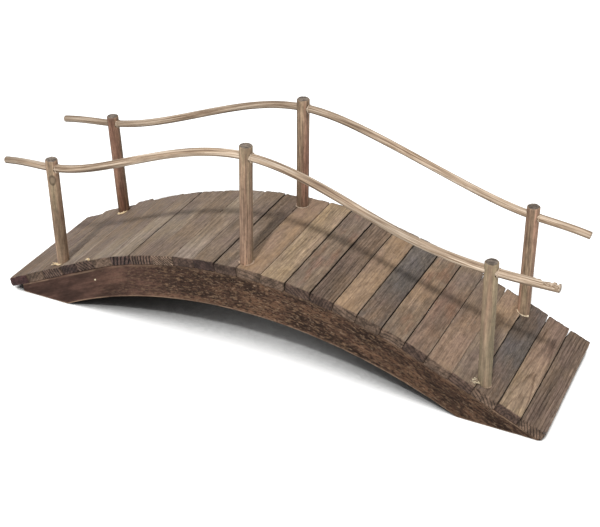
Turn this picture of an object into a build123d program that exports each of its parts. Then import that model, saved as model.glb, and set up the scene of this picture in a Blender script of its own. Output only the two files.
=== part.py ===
from build123d import *
import math
import os

# Miniature moon bridge in millimetres. X runs along the deck, the near side is -Y and Z = 0 is the floor.

# Deck boards, from the left end to the right
board_widths = (18.0, 16.8, 18.7, 15.7, 16.2, 18.0, 17.4, 19.1, 16.9, 16.2, 15.8, 16.3, 17.5,
                17.0, 17.5, 15.8, 16.3, 16.6, 16.1, 15.6, 17.4, 16.0, 16.5, 16.1, 15.6)
board_length = 100.0
board_thickness = 7.1
board_gap = 0.5
board_edge_radius = 0.4
last_board_flare = 1.9

# How far each board's end reaches past the nominal length, negative where it falls short
board_end_reaches = {
    "near": (0.0, -0.5, -0.5, -1.2, -1.2, -0.8, -0.5, 0.0, 0.5, 0.0, 0.0, 0.2, 0.0,
             0.8, 0.3, 0.5, 0.3, 0.5, 0.0, 0.0, 0.5, 0.0, 0.0, -0.5, 0.0),
    "far": (-1.8, 2.5, 0.3, 4.3, 0.2, -0.2, -0.7, -1.1, -0.4, 0.7, 2.2, 1.3, 2.3,
            2.8, 2.2, 2.0, 1.7, 1.8, 1.8, 2.0, 1.8, 2.2, 2.8, 2.2, 1.8),
}

# Arched stringers. The top is an arc that runs on in straight ends, and the soffit is one arc
top_radius = 301.0
end_slope_degrees = 24.2
soffit_radius = 336.0
crown_depth = 28.0
stringer_thickness = 18.0
stringer_inset = 0.8
deck_shift = 2.1
deck_end_clearance = 0.3
left_overhang = 9.4
right_overhang = 0.1

# Dowel posts, left, middle and right on each side: place along X, height over the deck and lean towards +X
post_x = {"near": (-160.1, -2.5, 163.9), "far": (-162.6, -3.1, 161.5)}
post_heights = {"near": (85.6, 87.0, 88.9), "far": (82.2, 82.9, 81.5)}
post_lean_degrees = {"near": (3.8, 4.2, 0.5), "far": (1.3, 3.2, 1.4)}
post_diameter = 8.9
post_top_radius = 0.8
post_foot_chamfer = 0.5
socket_depth = 14.0
socket_clearance = 0.3

# Cane rails, threaded through the posts below their tops, with two points in each bay. Each free end past
# the last posts has a reach, and a rise at its middle and at its tip
rail_diameters = {"near": 5.8, "far": 5.4}
rail_bore_clearance = 0.4
rail_end_radius = 0.8
rail_drops = {"near": (6.8, 7.8, 6.4), "far": (6.2, 6.6, 7.0)}
rail_bay_heights = {"near": (67.5, 73.6, 73.2, 69.0), "far": (65.4, 70.3, 70.3, 66.8)}
rail_end_reaches = {"near": (41.2, 41.3), "far": (45.2, 38.1)}
rail_middle_rises = {"near": (-0.6, -0.9), "far": (-1.8, -2.4)}
rail_tip_rises = {"near": (-2.3, -1.1), "far": (-4.6, -5.7)}

os.makedirs("parts", exist_ok=True)

end_slope = math.radians(end_slope_degrees)
side_sign = {"near": -1, "far": 1}


def from_crown(distance):
    """Run along X, drop below the crown and slope of the stringer top, a distance along it from the crown."""
    slope = max(-end_slope, min(end_slope, distance / top_radius))
    straight = distance - slope * top_radius
    run = top_radius * math.sin(slope) + straight * math.cos(slope)
    drop = top_radius * (1 - math.cos(slope)) + straight * math.sin(slope)
    return run, drop, slope


# The boards run from deck_start to deck_end along the top. X = 0 is midway between the deck's two ends, and the
# lower end's bottom edge, at the flare, clears the floor
deck_length = sum(board_widths) + board_gap * (len(board_widths) - 1)
deck_start = deck_shift - deck_length / 2
deck_end = deck_shift + deck_length / 2
start_run, start_drop, start_slope = from_crown(deck_start)
end_run, end_drop, deck_end_slope = from_crown(deck_end)
deck_left = start_run + board_thickness * math.sin(start_slope)
deck_right = end_run + board_thickness * math.sin(deck_end_slope) + last_board_flare * math.cos(deck_end_slope)
crown_x = -(deck_left + deck_right) / 2
crown_height = deck_end_clearance + max(start_drop, end_drop + last_board_flare * math.sin(deck_end_slope))

# Y = 0 is midway between the furthest near and far board ends, which sets the bridge's middle line a little off it
middle_y = (max(board_end_reaches["near"]) - max(board_end_reaches["far"])) / 2


def top_plane(distance):
    """Plane that touches the stringer tops a distance along them from the crown, with its Z pointing out."""
    run, drop, slope = from_crown(distance)
    return Plane(origin=(crown_x + run, middle_y, crown_height - drop),
                 x_dir=(math.cos(slope), 0, -math.sin(slope)), z_dir=(math.sin(slope), 0, math.cos(slope)))


def deck_point(x):
    """Point of the deck's walking surface at X = x, in the middle of the bridge."""
    distance = x - crown_x
    for correction in range(30):
        plane = top_plane(distance)
        surface = plane.origin + plane.z_dir * board_thickness
        distance += x - surface.X
    return surface


# Stringer outline
left_tip = top_plane(deck_start + left_overhang).origin
right_tip = top_plane(deck_end - right_overhang).origin
arc_left = top_plane(-end_slope * top_radius).origin
arc_right = top_plane(end_slope * top_radius).origin
soffit_height = crown_height - crown_depth
soffit_half_span = math.sqrt(soffit_radius**2 - (soffit_radius - soffit_height) ** 2)
soffit_left = (crown_x - soffit_half_span, 0)
soffit_right = (crown_x + soffit_half_span, 0)

with BuildSketch(Plane.XZ) as stringer_outline:
    with BuildLine():
        ThreePointArc((arc_left.X, arc_left.Z), (crown_x, crown_height), (arc_right.X, arc_right.Z))
        Polyline((arc_right.X, arc_right.Z), (right_tip.X, right_tip.Z), (right_tip.X, 0), soffit_right)
        ThreePointArc(soffit_right, (crown_x, soffit_height), soffit_left)
        Polyline(soffit_left, (left_tip.X, 0), (left_tip.X, left_tip.Z), (arc_left.X, arc_left.Z))
    make_face()

# Post axes. Each foot plane lies on the floor of its socket, in the middle of the stringer, and points up the post
stringer_middle = board_length / 2 - stringer_inset - stringer_thickness / 2
buried_length = board_thickness + socket_depth
posts = []
for side, sign in side_sign.items():
    for place, x, height, lean_degrees, drop in zip(
        ("left", "middle", "right"), post_x[side], post_heights[side], post_lean_degrees[side], rail_drops[side]
    ):
        lean = math.radians(lean_degrees)
        axis = Vector(math.sin(lean), 0, math.cos(lean))
        foot = deck_point(x) + Vector(0, sign * stringer_middle, 0) - axis * buried_length
        length = buried_length + height
        posts.append({
            "name": f"{side}_{place}_post",
            "side": side,
            "plane": Plane(origin=foot, x_dir=(0, 1, 0), z_dir=axis),
            "length": length,
            "rail_point": foot + axis * (length - drop),
        })

# Rail curves, through the posts and past the end ones
rail_curves = {}
for side, sign in side_sign.items():
    through = [post["rail_point"] for post in posts if post["side"] == side]
    bay_heights = rail_bay_heights[side]
    bays = []
    for number, height in enumerate(bay_heights):
        start, end = through[number // 2], through[number // 2 + 1]
        bay_x = start.X + (end.X - start.X) * (number % 2 + 1) / 3
        bays.append(deck_point(bay_x) + Vector(0, sign * stringer_middle, height))
    free_ends = []
    for post_point, direction, reach, middle_rise, tip_rise in zip(
        (through[0], through[2]), (-1, 1), rail_end_reaches[side], rail_middle_rises[side], rail_tip_rises[side]
    ):
        free_ends.append((post_point + Vector(direction * reach / 2, 0, middle_rise),
                          post_point + Vector(direction * reach, 0, tip_rise)))
    (left_middle, left_end), (right_middle, right_end) = free_ends
    with BuildLine():
        rail_curves[side] = Spline(left_end, left_middle, through[0], *bays[:2], through[1], *bays[2:],
                                   through[2], right_middle, right_end)

# Stringers, with a blind socket under each post
for side, sign in side_sign.items():
    with BuildPart() as stringer:
        with BuildSketch(Plane.XZ.offset(-middle_y - sign * stringer_middle)):
            add(stringer_outline.sketch_local)
        extrude(amount=stringer_thickness / 2, both=True)
        for post in posts:
            with Locations(post["plane"]):
                Cylinder((post_diameter + socket_clearance) / 2, post["length"],
                         align=(Align.CENTER, Align.CENTER, Align.MIN), mode=Mode.SUBTRACT)
    stringer.part.label = f"{side}_stringer"
    export_step(stringer.part, f"parts/{side}_stringer.step")

# Deck boards, each flat and touching the stringers along its own middle, bored where a post passes. The last
# board flares out towards its near end
board_start = deck_start
for number, board_width in enumerate(board_widths, start=1):
    near_end = -(board_length / 2 + board_end_reaches["near"][number - 1])
    far_end = board_length / 2 + board_end_reaches["far"][number - 1]
    flare = last_board_flare if number == len(board_widths) else 0
    with BuildPart() as board:
        with BuildSketch(top_plane(board_start + board_width / 2)):
            Polygon((-board_width / 2, near_end), (board_width / 2 + flare, near_end),
                    (board_width / 2, far_end), (-board_width / 2, far_end), align=None)
        extrude(amount=board_thickness)
        long_edges = board.edges().filter_by(lambda edge: edge.length > board_length / 2)
        fillet(long_edges, board_edge_radius)
        for post in posts:
            with Locations(post["plane"]):
                Cylinder((post_diameter + socket_clearance) / 2, post["length"],
                         align=(Align.CENTER, Align.CENTER, Align.MIN), mode=Mode.SUBTRACT)
    board.part.label = f"deck_board_{number:02d}"
    export_step(board.part, f"parts/deck_board_{number:02d}.step")
    board_start += board_width + board_gap

# Posts, bored across along the rail's own direction
for post in posts:
    rail_curve = rail_curves[post["side"]]
    rail_direction = rail_curve.tangent_at(rail_curve.param_at_point(post["rail_point"]))
    with BuildPart() as dowel:
        with BuildSketch(post["plane"]):
            Circle(post_diameter / 2)
        extrude(amount=post["length"])
        fillet(dowel.faces().sort_by(Axis.Z)[-1].edges(), post_top_radius)
        chamfer(dowel.faces().sort_by(Axis.Z)[0].edges(), post_foot_chamfer)
        with Locations(Plane(origin=post["rail_point"], z_dir=rail_direction)):
            Cylinder((rail_diameters[post["side"]] + rail_bore_clearance) / 2, 2 * post_diameter,
                     mode=Mode.SUBTRACT)
    dowel.part.label = post["name"]
    export_step(dowel.part, f"parts/{post['name']}.step")

# Rails
for side, rail_curve in rail_curves.items():
    with BuildPart() as rail:
        with BuildLine():
            add(rail_curve)
        with BuildSketch(Plane(origin=rail_curve @ 0, z_dir=rail_curve % 0)):
            Circle(rail_diameters[side] / 2)
        sweep()
        fillet(rail.faces().filter_by(GeomType.PLANE).edges(), rail_end_radius)
    rail.part.label = f"{side}_rail"
    export_step(rail.part, f"parts/{side}_rail.step")
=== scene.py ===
"""Looks of a miniature moon bridge: weathered deck boards on arched stringers, dowel posts and cane rails.

X runs along the deck, the near side is -Y and Z = 0 is the floor. Shapes are worked out in millimetres.
"""
import math
from collections import namedtuple

import bmesh
import bpy
import numpy as np
from bpy.props import FloatProperty, FloatVectorProperty, PointerProperty
from mathutils import Matrix, Vector


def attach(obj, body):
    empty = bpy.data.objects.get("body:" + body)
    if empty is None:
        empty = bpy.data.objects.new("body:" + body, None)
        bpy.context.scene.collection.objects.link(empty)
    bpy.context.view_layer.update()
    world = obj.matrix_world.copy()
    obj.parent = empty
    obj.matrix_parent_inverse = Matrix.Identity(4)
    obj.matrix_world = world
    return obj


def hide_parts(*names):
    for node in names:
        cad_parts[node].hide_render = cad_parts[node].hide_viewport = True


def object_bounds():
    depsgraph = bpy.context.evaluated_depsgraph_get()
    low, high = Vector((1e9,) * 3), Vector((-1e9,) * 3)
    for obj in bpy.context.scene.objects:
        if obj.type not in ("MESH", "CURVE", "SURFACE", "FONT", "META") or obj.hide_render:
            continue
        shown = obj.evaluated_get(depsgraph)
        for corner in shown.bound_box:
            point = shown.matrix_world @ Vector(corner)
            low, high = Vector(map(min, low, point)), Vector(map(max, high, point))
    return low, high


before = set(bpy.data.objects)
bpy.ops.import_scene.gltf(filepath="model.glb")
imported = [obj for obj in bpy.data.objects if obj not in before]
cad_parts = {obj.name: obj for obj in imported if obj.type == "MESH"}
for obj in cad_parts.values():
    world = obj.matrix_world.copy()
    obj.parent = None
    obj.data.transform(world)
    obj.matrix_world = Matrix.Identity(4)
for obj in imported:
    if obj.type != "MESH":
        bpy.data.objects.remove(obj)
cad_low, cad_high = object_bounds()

bl_info = {
    "name": "Moon Bridge",
    "version": (1, 0, 0),
    "blender": (4, 5, 0),
    "location": "3D View > Sidebar > Moon Bridge",
    "description": "Makes the weathered wood and cane of a miniature moon bridge",
    "category": "Add Mesh",
}

MM = 0.001

# Deck, stringers, posts and rails, with the values of the part's source
BOARD_WIDTHS = np.array([18.0, 16.8, 18.7, 15.7, 16.2, 18.0, 17.4, 19.1, 16.9, 16.2, 15.8, 16.3, 17.5,
                         17.0, 17.5, 15.8, 16.3, 16.6, 16.1, 15.6, 17.4, 16.0, 16.5, 16.1, 15.6])
BOARD_LENGTH = 100.0
BOARD_THICKNESS = 7.1
BOARD_GAP = 0.5
LAST_BOARD_FLARE = 1.9
BOARD_END_REACHES = {
    "near": (0.0, -0.5, -0.5, -1.2, -1.2, -0.8, -0.5, 0.0, 0.5, 0.0, 0.0, 0.2, 0.0,
             0.8, 0.3, 0.5, 0.3, 0.5, 0.0, 0.0, 0.5, 0.0, 0.0, -0.5, 0.0),
    "far": (-1.8, 2.5, 0.3, 4.3, 0.2, -0.2, -0.7, -1.1, -0.4, 0.7, 2.2, 1.3, 2.3,
            2.8, 2.2, 2.0, 1.7, 1.8, 1.8, 2.0, 1.8, 2.2, 2.8, 2.2, 1.8),
}
TOP_RADIUS = 301.0
END_SLOPE = math.radians(24.2)
SOFFIT_RADIUS = 336.0
CROWN_DEPTH = 28.0
STRINGER_THICKNESS = 18.0
STRINGER_INSET = 0.8
DECK_SHIFT = 2.1
DECK_END_CLEARANCE = 0.3
LEFT_OVERHANG = 9.4
RIGHT_OVERHANG = 0.1
PLACES = ("left", "middle", "right")
POST_X = {"near": (-160.1, -2.5, 163.9), "far": (-162.6, -3.1, 161.5)}
POST_HEIGHTS = {"near": (85.6, 87.0, 88.9), "far": (82.2, 82.9, 81.5)}
POST_LEANS = {"near": (3.8, 4.2, 0.5), "far": (1.3, 3.2, 1.4)}
POST_RADIUS = 4.45
SOCKET_RADIUS = 4.6
SOCKET_DEPTH = 14.0
RAIL_RADII = {"near": 2.9, "far": 2.7}
RAIL_BORE_CLEARANCE = 0.2
RAIL_DROPS = {"near": (6.8, 7.8, 6.4), "far": (6.2, 6.6, 7.0)}
RAIL_BAY_HEIGHTS = {"near": (67.5, 73.6, 73.2, 69.0), "far": (65.4, 70.3, 70.3, 66.8)}
RAIL_END_REACHES = {"near": (41.2, 41.3), "far": (45.2, 38.1)}
RAIL_MIDDLE_RISES = {"near": (-0.6, -0.9), "far": (-1.8, -2.4)}
RAIL_TIP_RISES = {"near": (-2.3, -1.1), "far": (-4.6, -5.7)}
STRINGER_MIDDLE = BOARD_LENGTH / 2 - STRINGER_INSET - STRINGER_THICKNESS / 2
MIDDLE_Y = (max(BOARD_END_REACHES["near"]) - max(BOARD_END_REACHES["far"])) / 2
SIDE_Y = {"near": MIDDLE_Y - STRINGER_MIDDLE, "far": MIDDLE_Y + STRINGER_MIDDLE}


def from_crown(distance):
    """Run along X, drop below the crown and slope of the stringer top, which is an arc and then straight,
    at a distance along it."""
    slope = np.clip(distance / TOP_RADIUS, -END_SLOPE, END_SLOPE)
    straight = distance - slope * TOP_RADIUS
    run = TOP_RADIUS * np.sin(slope) + straight * np.cos(slope)
    drop = TOP_RADIUS * (1 - np.cos(slope)) + straight * np.sin(slope)
    return run, drop, slope


DECK_LENGTH = BOARD_WIDTHS.sum() + BOARD_GAP * (len(BOARD_WIDTHS) - 1)
DECK_ENDS = DECK_SHIFT + np.array([-0.5, 0.5]) * DECK_LENGTH
END_RUNS, END_DROPS, END_SLOPES = from_crown(DECK_ENDS)
FLARE_RUN = LAST_BOARD_FLARE * math.cos(END_SLOPES[1])
FLARE_DROP = LAST_BOARD_FLARE * math.sin(END_SLOPES[1])
CROWN_X = -(END_RUNS.sum() + BOARD_THICKNESS * np.sin(END_SLOPES).sum() + FLARE_RUN) / 2
CROWN_HEIGHT = DECK_END_CLEARANCE + max(END_DROPS[0], END_DROPS[1] + FLARE_DROP)
SOFFIT_HEIGHT = CROWN_HEIGHT - CROWN_DEPTH


def top_point(distance):
    """X, Z and slope of the stringer top, a distance along it from the crown."""
    run, drop, slope = from_crown(distance)
    return CROWN_X + run, CROWN_HEIGHT - drop, slope


def slope_ways(slope):
    """Unit directions down a slope and square to it."""
    return np.array([math.cos(slope), 0, -math.sin(slope)]), np.array([math.sin(slope), 0, math.cos(slope)])


def deck_point(x):
    """Z and slope of the walking surface at X: the stringer top moved out by a board's thickness, found by
    steps."""
    distance = x - CROWN_X
    for correction in range(30):
        top_x, top_z, slope = top_point(distance)
        distance = distance + x - top_x - BOARD_THICKNESS * np.sin(slope)
    return top_z + BOARD_THICKNESS * np.cos(slope), slope


def post_axes():
    """Foot, axis, length and rail crossing of each post, whose foot is its buried length under the deck."""
    buried = BOARD_THICKNESS + SOCKET_DEPTH
    axes = {}
    for side, side_y in SIDE_Y.items():
        for number, place in enumerate(PLACES):
            x = POST_X[side][number]
            lean = math.radians(POST_LEANS[side][number])
            axis = np.array([math.sin(lean), 0, math.cos(lean)])
            deck_z, slope = deck_point(x)
            on_deck = np.array([x, side_y, deck_z])
            foot = on_deck - axis * buried
            length = buried + POST_HEIGHTS[side][number]
            crossing = foot + axis * (length - RAIL_DROPS[side][number])
            axes[f"{side}_{place}"] = {"foot": foot, "axis": axis, "length": length, "crossing": crossing,
                                       "on_deck": on_deck, "slope": slope, "side": side}
    return axes


def rail_points(side, axes):
    """The eleven points that a rail passes through: three posts, two heights over each bay, and the middle
    and tip of each free end."""
    through = [axes[f"{side}_{place}"]["crossing"] for place in PLACES]
    bays = []
    for number, height in enumerate(RAIL_BAY_HEIGHTS[side]):
        start, end = through[number // 2], through[number // 2 + 1]
        x = start[0] + (end[0] - start[0]) * (number % 2 + 1) / 3
        bays.append(np.array([x, SIDE_Y[side], deck_point(x)[0] + height]))
    ends = []
    for post, way, number in ((through[0], -1, 0), (through[2], 1, 1)):
        reach = way * RAIL_END_REACHES[side][number]
        ends.append(post + np.array([reach / 2, 0, RAIL_MIDDLE_RISES[side][number]]))
        ends.append(post + np.array([reach, 0, RAIL_TIP_RISES[side][number]]))
    return np.array([ends[1], ends[0], through[0], *bays[:2], through[1], *bays[2:], through[2], *ends[2:]])


def smooth_curve(points, samples):
    """Cubic spline through points, even in length: the slopes at the knots make its second derivative
    continuous, and each end's slope is that of the cubic through its four nearest points."""
    chords = np.linalg.norm(np.diff(points, axis=0), axis=1)
    knots = np.concatenate([[0], np.cumsum(chords)])
    rises = np.diff(points, axis=0) / chords[:, None]
    count = len(points)
    system = np.eye(count)
    known = np.zeros((count, 3))
    inner = np.arange(1, count - 1)
    system[inner, inner - 1] = chords[1:]
    system[inner, inner] = 2 * (chords[:-1] + chords[1:])
    system[inner, inner + 1] = chords[:-1]
    known[1:-1] = 3 * (chords[1:, None] * rises[:-1] + chords[:-1, None] * rises[1:])
    for end, near in ((0, slice(0, 4)), (-1, slice(-4, None))):
        cubic = np.polyfit(knots[near] - knots[end], points[near], 3)
        known[end] = cubic[-2]
    slopes = np.linalg.solve(system, known)

    def along(position):
        """Points of the spline at places on its chords: the cubic that keeps both ends' places and slopes."""
        piece = np.clip(np.searchsorted(knots, position, side="right") - 1, 0, count - 2)
        step = chords[piece][:, None]
        part = (position - knots[piece])[:, None] / step
        from_start = 2 * part**3 - 3 * part**2 + 1
        to_end = 3 * part**2 - 2 * part**3
        leaving = part**3 - 2 * part**2 + part
        arriving = part**3 - part**2
        return (from_start * points[piece] + leaving * step * slopes[piece]
                + to_end * points[piece + 1] + arriving * step * slopes[piece + 1])

    fine = along(np.linspace(0, knots[-1], 4000))
    lengths = np.concatenate([[0], np.cumsum(np.linalg.norm(np.diff(fine, axis=0), axis=1))])
    wanted = samples * lengths[-1]
    return np.stack([np.interp(wanted, lengths, fine[:, axis]) for axis in range(3)], axis=1), lengths[-1]


def rail_way(post, axes, steps):
    """Unit direction of the rail where it crosses a post, between the points so many steps before and
    after."""
    curve = smooth_curve(rail_points(post["side"], axes), np.linspace(0, 1, 1200))[0]
    nearest = np.argmin(np.linalg.norm(curve - post["crossing"], axis=1))
    way = curve[nearest + steps] - curve[nearest - steps]
    return way / np.linalg.norm(way)


# Numbers, noise and meshes

# Odd factors that mix up a cell's place and a seed, and the shifts in bits that stir the sum
CELL_FACTORS = np.array([73856093, 19349663, 83492791], dtype=np.uint64)
SEED_FACTOR = 2654435761
STIRS = ((15, 2246822519), (13, 3266489917))
WORD = np.uint64(0xFFFFFFFF)

# Share of a growth ring that its dark line takes up
RING_LINE = 0.12
# Distance in metres within which vertices are merged
MERGE_DISTANCE = 1e-7
SHARP_ANGLE = math.radians(38)
DRILL_SIDES = 48


def lattice_noise(points, seed):
    """Smooth noise from -1 to 1: a mixed-up number at each corner of a unit lattice, blended with a cubic
    ease."""
    points = np.asarray(points, dtype=float)
    cell = np.floor(points)
    part = points - cell
    ease = part * part * (3 - 2 * part)
    cell = cell.astype(np.int64)
    total = np.zeros(points.shape[:-1])
    for corner in np.ndindex(2, 2, 2):
        at = (cell + np.array(corner)).astype(np.uint64)
        mixed = np.bitwise_xor.reduce(at * CELL_FACTORS, axis=-1)
        mixed = (mixed + np.uint64(seed * SEED_FACTOR % 2**32)) & WORD
        for shift, factor in STIRS:
            mixed = ((mixed ^ (mixed >> np.uint64(shift))) * np.uint64(factor)) & WORD
        value = (mixed >> np.uint64(8)).astype(float) / 2**23 - 1
        total += np.prod(np.where(corner, ease, 1 - ease), axis=-1) * value
    return total


def layered_noise(points, seed, layers=3):
    """Sum of lattice noises, each twice as fine and half as strong as the one before."""
    points = np.asarray(points)
    return sum(lattice_noise(points * 2**layer, seed + layer) / 2**layer for layer in range(layers))


def half_noise(points, seed, layers=2):
    """Layered noise, moved to lie about from 0 to 1."""
    return 0.5 + 0.5 * layered_noise(points, seed, layers)


def line_noise(position, seed, layers=2):
    """Layered noise along one line."""
    position = np.asarray(position, dtype=float)
    return layered_noise(np.stack([position, position * 0 + 0.5, position * 0 + 0.5], axis=-1), seed, layers)


def ring_wave(phase):
    """Depth of the soft wood between two growth rings, 0 at the dark line and 1 just past it."""
    part = phase - np.floor(phase)
    return np.where(part < RING_LINE, part / RING_LINE, 1 - ((part - RING_LINE) / (1 - RING_LINE)) ** 2)


def circle_points(count):
    """Unit directions round a circle, as an array (count, 2)."""
    turn = np.linspace(0, 2 * math.pi, count, endpoint=False)
    return np.stack([np.cos(turn), np.sin(turn)], axis=1)


def rings_mesh(name, rings):
    """Closed skin over rings, an array (rings, points round, 3) in mm: quads join each ring to the next,
    the end rings close on themselves, points that meet are merged and faces point outwards."""
    count, around = rings.shape[:2]
    index = np.arange(count * around).reshape(count, around)
    beside = np.roll(index, -1, axis=1)
    quads = np.stack([index[:-1], beside[:-1], beside[1:], index[1:]], axis=-1).reshape(-1, 4)
    corners = rings.reshape(-1, 3)[quads]
    volume = np.einsum("ij,ij->", corners[:, 0], np.cross(corners[:, 1], corners[:, 2])
                       + np.cross(corners[:, 2], corners[:, 3]))
    if volume < 0:
        quads = quads[:, ::-1]
    mesh = bpy.data.meshes.new(name)
    mesh.from_pydata(rings.reshape(-1, 3) * MM, [], quads.tolist())
    work = bmesh.new()
    work.from_mesh(mesh)
    bmesh.ops.remove_doubles(work, verts=work.verts, dist=MERGE_DISTANCE)
    bmesh.ops.dissolve_degenerate(work, edges=work.edges, dist=MERGE_DISTANCE)
    work.to_mesh(mesh)
    work.free()
    return mesh


def join_rings(name, groups):
    """One mesh from several ring skins."""
    work = bmesh.new()
    for rings in groups:
        part = rings_mesh("part", rings)
        work.from_mesh(part)
        bpy.data.meshes.remove(part)
    mesh = bpy.data.meshes.new(name)
    work.to_mesh(mesh)
    work.free()
    return mesh


def mesh_points(mesh):
    """The mesh's vertices in mm, as an array."""
    flat = np.empty(len(mesh.vertices) * 3, dtype=np.float32)
    mesh.vertices.foreach_get("co", flat)
    return flat.reshape(-1, 3).astype(float) / MM


def set_field(mesh, name, values):
    """Stores one number or one vector a vertex as an attribute that the materials read."""
    values = np.asarray(values, dtype=np.float32)
    kind, key = ("FLOAT", "value") if values.ndim == 1 else ("FLOAT_VECTOR", "vector")
    mesh.attributes.new(name, kind, "POINT").data.foreach_set(key, values.ravel())


def set_marks(mesh, wear=0.0, end=0.0, knot=0.0):
    """Stores the marks of wear, of cut ends and of knots, from 0 to 1 at each vertex."""
    shape = len(mesh.vertices)
    set_field(mesh, "marks", np.stack([np.broadcast_to(mark, shape) for mark in (wear, end, knot)], axis=1))


def link(name, data):
    """Puts a new object into the scene."""
    made = bpy.data.objects.new(name, data)
    bpy.context.scene.collection.objects.link(made)
    return made


def bore(mesh, bores):
    """Cuts straight round holes out of a mesh. Each is its start, its direction, its length and its radius,
    in mm: a ring of points carried from the start to the end."""
    piece = link("piece_to_bore", mesh)
    cutters = []
    for start, direction, length, radius in bores:
        direction = direction / np.linalg.norm(direction)
        across = np.cross(direction, [0.0, 1.0, 0.0])
        if np.linalg.norm(across) < 0.1:
            across = np.cross(direction, [1.0, 0.0, 0.0])
        across /= np.linalg.norm(across)
        other = np.cross(direction, across)
        circle = circle_points(DRILL_SIDES) @ np.stack([across, other])
        places = np.array([0, 0, 1, 1]) * length
        radii = np.array([0, 1, 1, 0]) * radius
        rings = start + direction * places[:, None, None] + circle[None] * radii[:, None, None]
        cutters.append(link("drill", rings_mesh("drill", rings)))
        cut = piece.modifiers.new("bore", "BOOLEAN")
        cut.operation = "DIFFERENCE"
        cut.solver = "EXACT"
        cut.object = cutters[-1]
    bored = bpy.data.meshes.new_from_object(piece.evaluated_get(bpy.context.evaluated_depsgraph_get()))
    bored.name = mesh.name
    for used in (piece, *cutters):
        bpy.data.objects.remove(used)
    return bored


def add_piece(name, mesh, material, nodes=()):
    """Puts a finished mesh into the scene as a piece that rides on the bridge and stands for CAD nodes."""
    mesh.polygons.foreach_set("use_smooth", np.ones(len(mesh.polygons), dtype=bool))
    mesh.set_sharp_from_angle(angle=SHARP_ANGLE)
    mesh.materials.clear()
    mesh.materials.append(material)
    piece = link(name, mesh)
    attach(piece, "root")
    if nodes:
        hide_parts(*nodes)


def bar_section(flat, side, corner):
    """Round of a bar's rounded rectangle, as places on its core from -1 to 1 and outward directions: top,
    right side, bottom and left side, each the one before turned by a quarter, with a quarter circle at each
    corner."""
    turns = np.linspace(90, 0, corner + 2)[1:-1]
    core, out = [], []
    for quarter in range(4):
        steps = np.linspace(-1, 1, side if quarter % 2 else flat)
        places = np.concatenate([np.stack([steps, np.ones_like(steps)], axis=1), np.ones((corner, 2))])
        for turn in range(quarter):
            places = places[:, ::-1] * [1, -1]
        core.append(places)
        angle = np.radians(np.concatenate([np.full(len(steps), 90.0), turns]) - 90 * quarter)
        out.append(np.stack([np.cos(angle), np.sin(angle)], axis=1))
    return np.concatenate(core), np.concatenate(out)


def bar_path(stations, cap, rounding):
    """Rings along a bar with closed, rounded ends: each ring's station from 0 to 1, the share of the end
    face that it spans, and its angle in the end's rounding."""
    shrink = np.linspace(0, 1, cap, endpoint=False)
    turn = np.linspace(0, math.pi / 2, rounding + 1)[:-1]
    place = np.concatenate([np.zeros(cap + rounding), stations, np.ones(cap + rounding)])
    left = np.concatenate([shrink, np.ones(rounding + len(stations) + rounding), shrink[::-1]])
    straight = np.full(len(stations), math.pi / 2)
    angle = np.concatenate([np.zeros(cap), turn, straight, turn[::-1], np.zeros(cap)])
    return place, left, angle


# Materials

# The range that most of a noise texture's values lie in
NOISE_LOW = 0.36
NOISE_HIGH = 0.64
# How far a seed of 1 shifts a noise texture on each axis, in bumps
SEED_SHIFT = (7.31, 3.77, 5.13)


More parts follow.
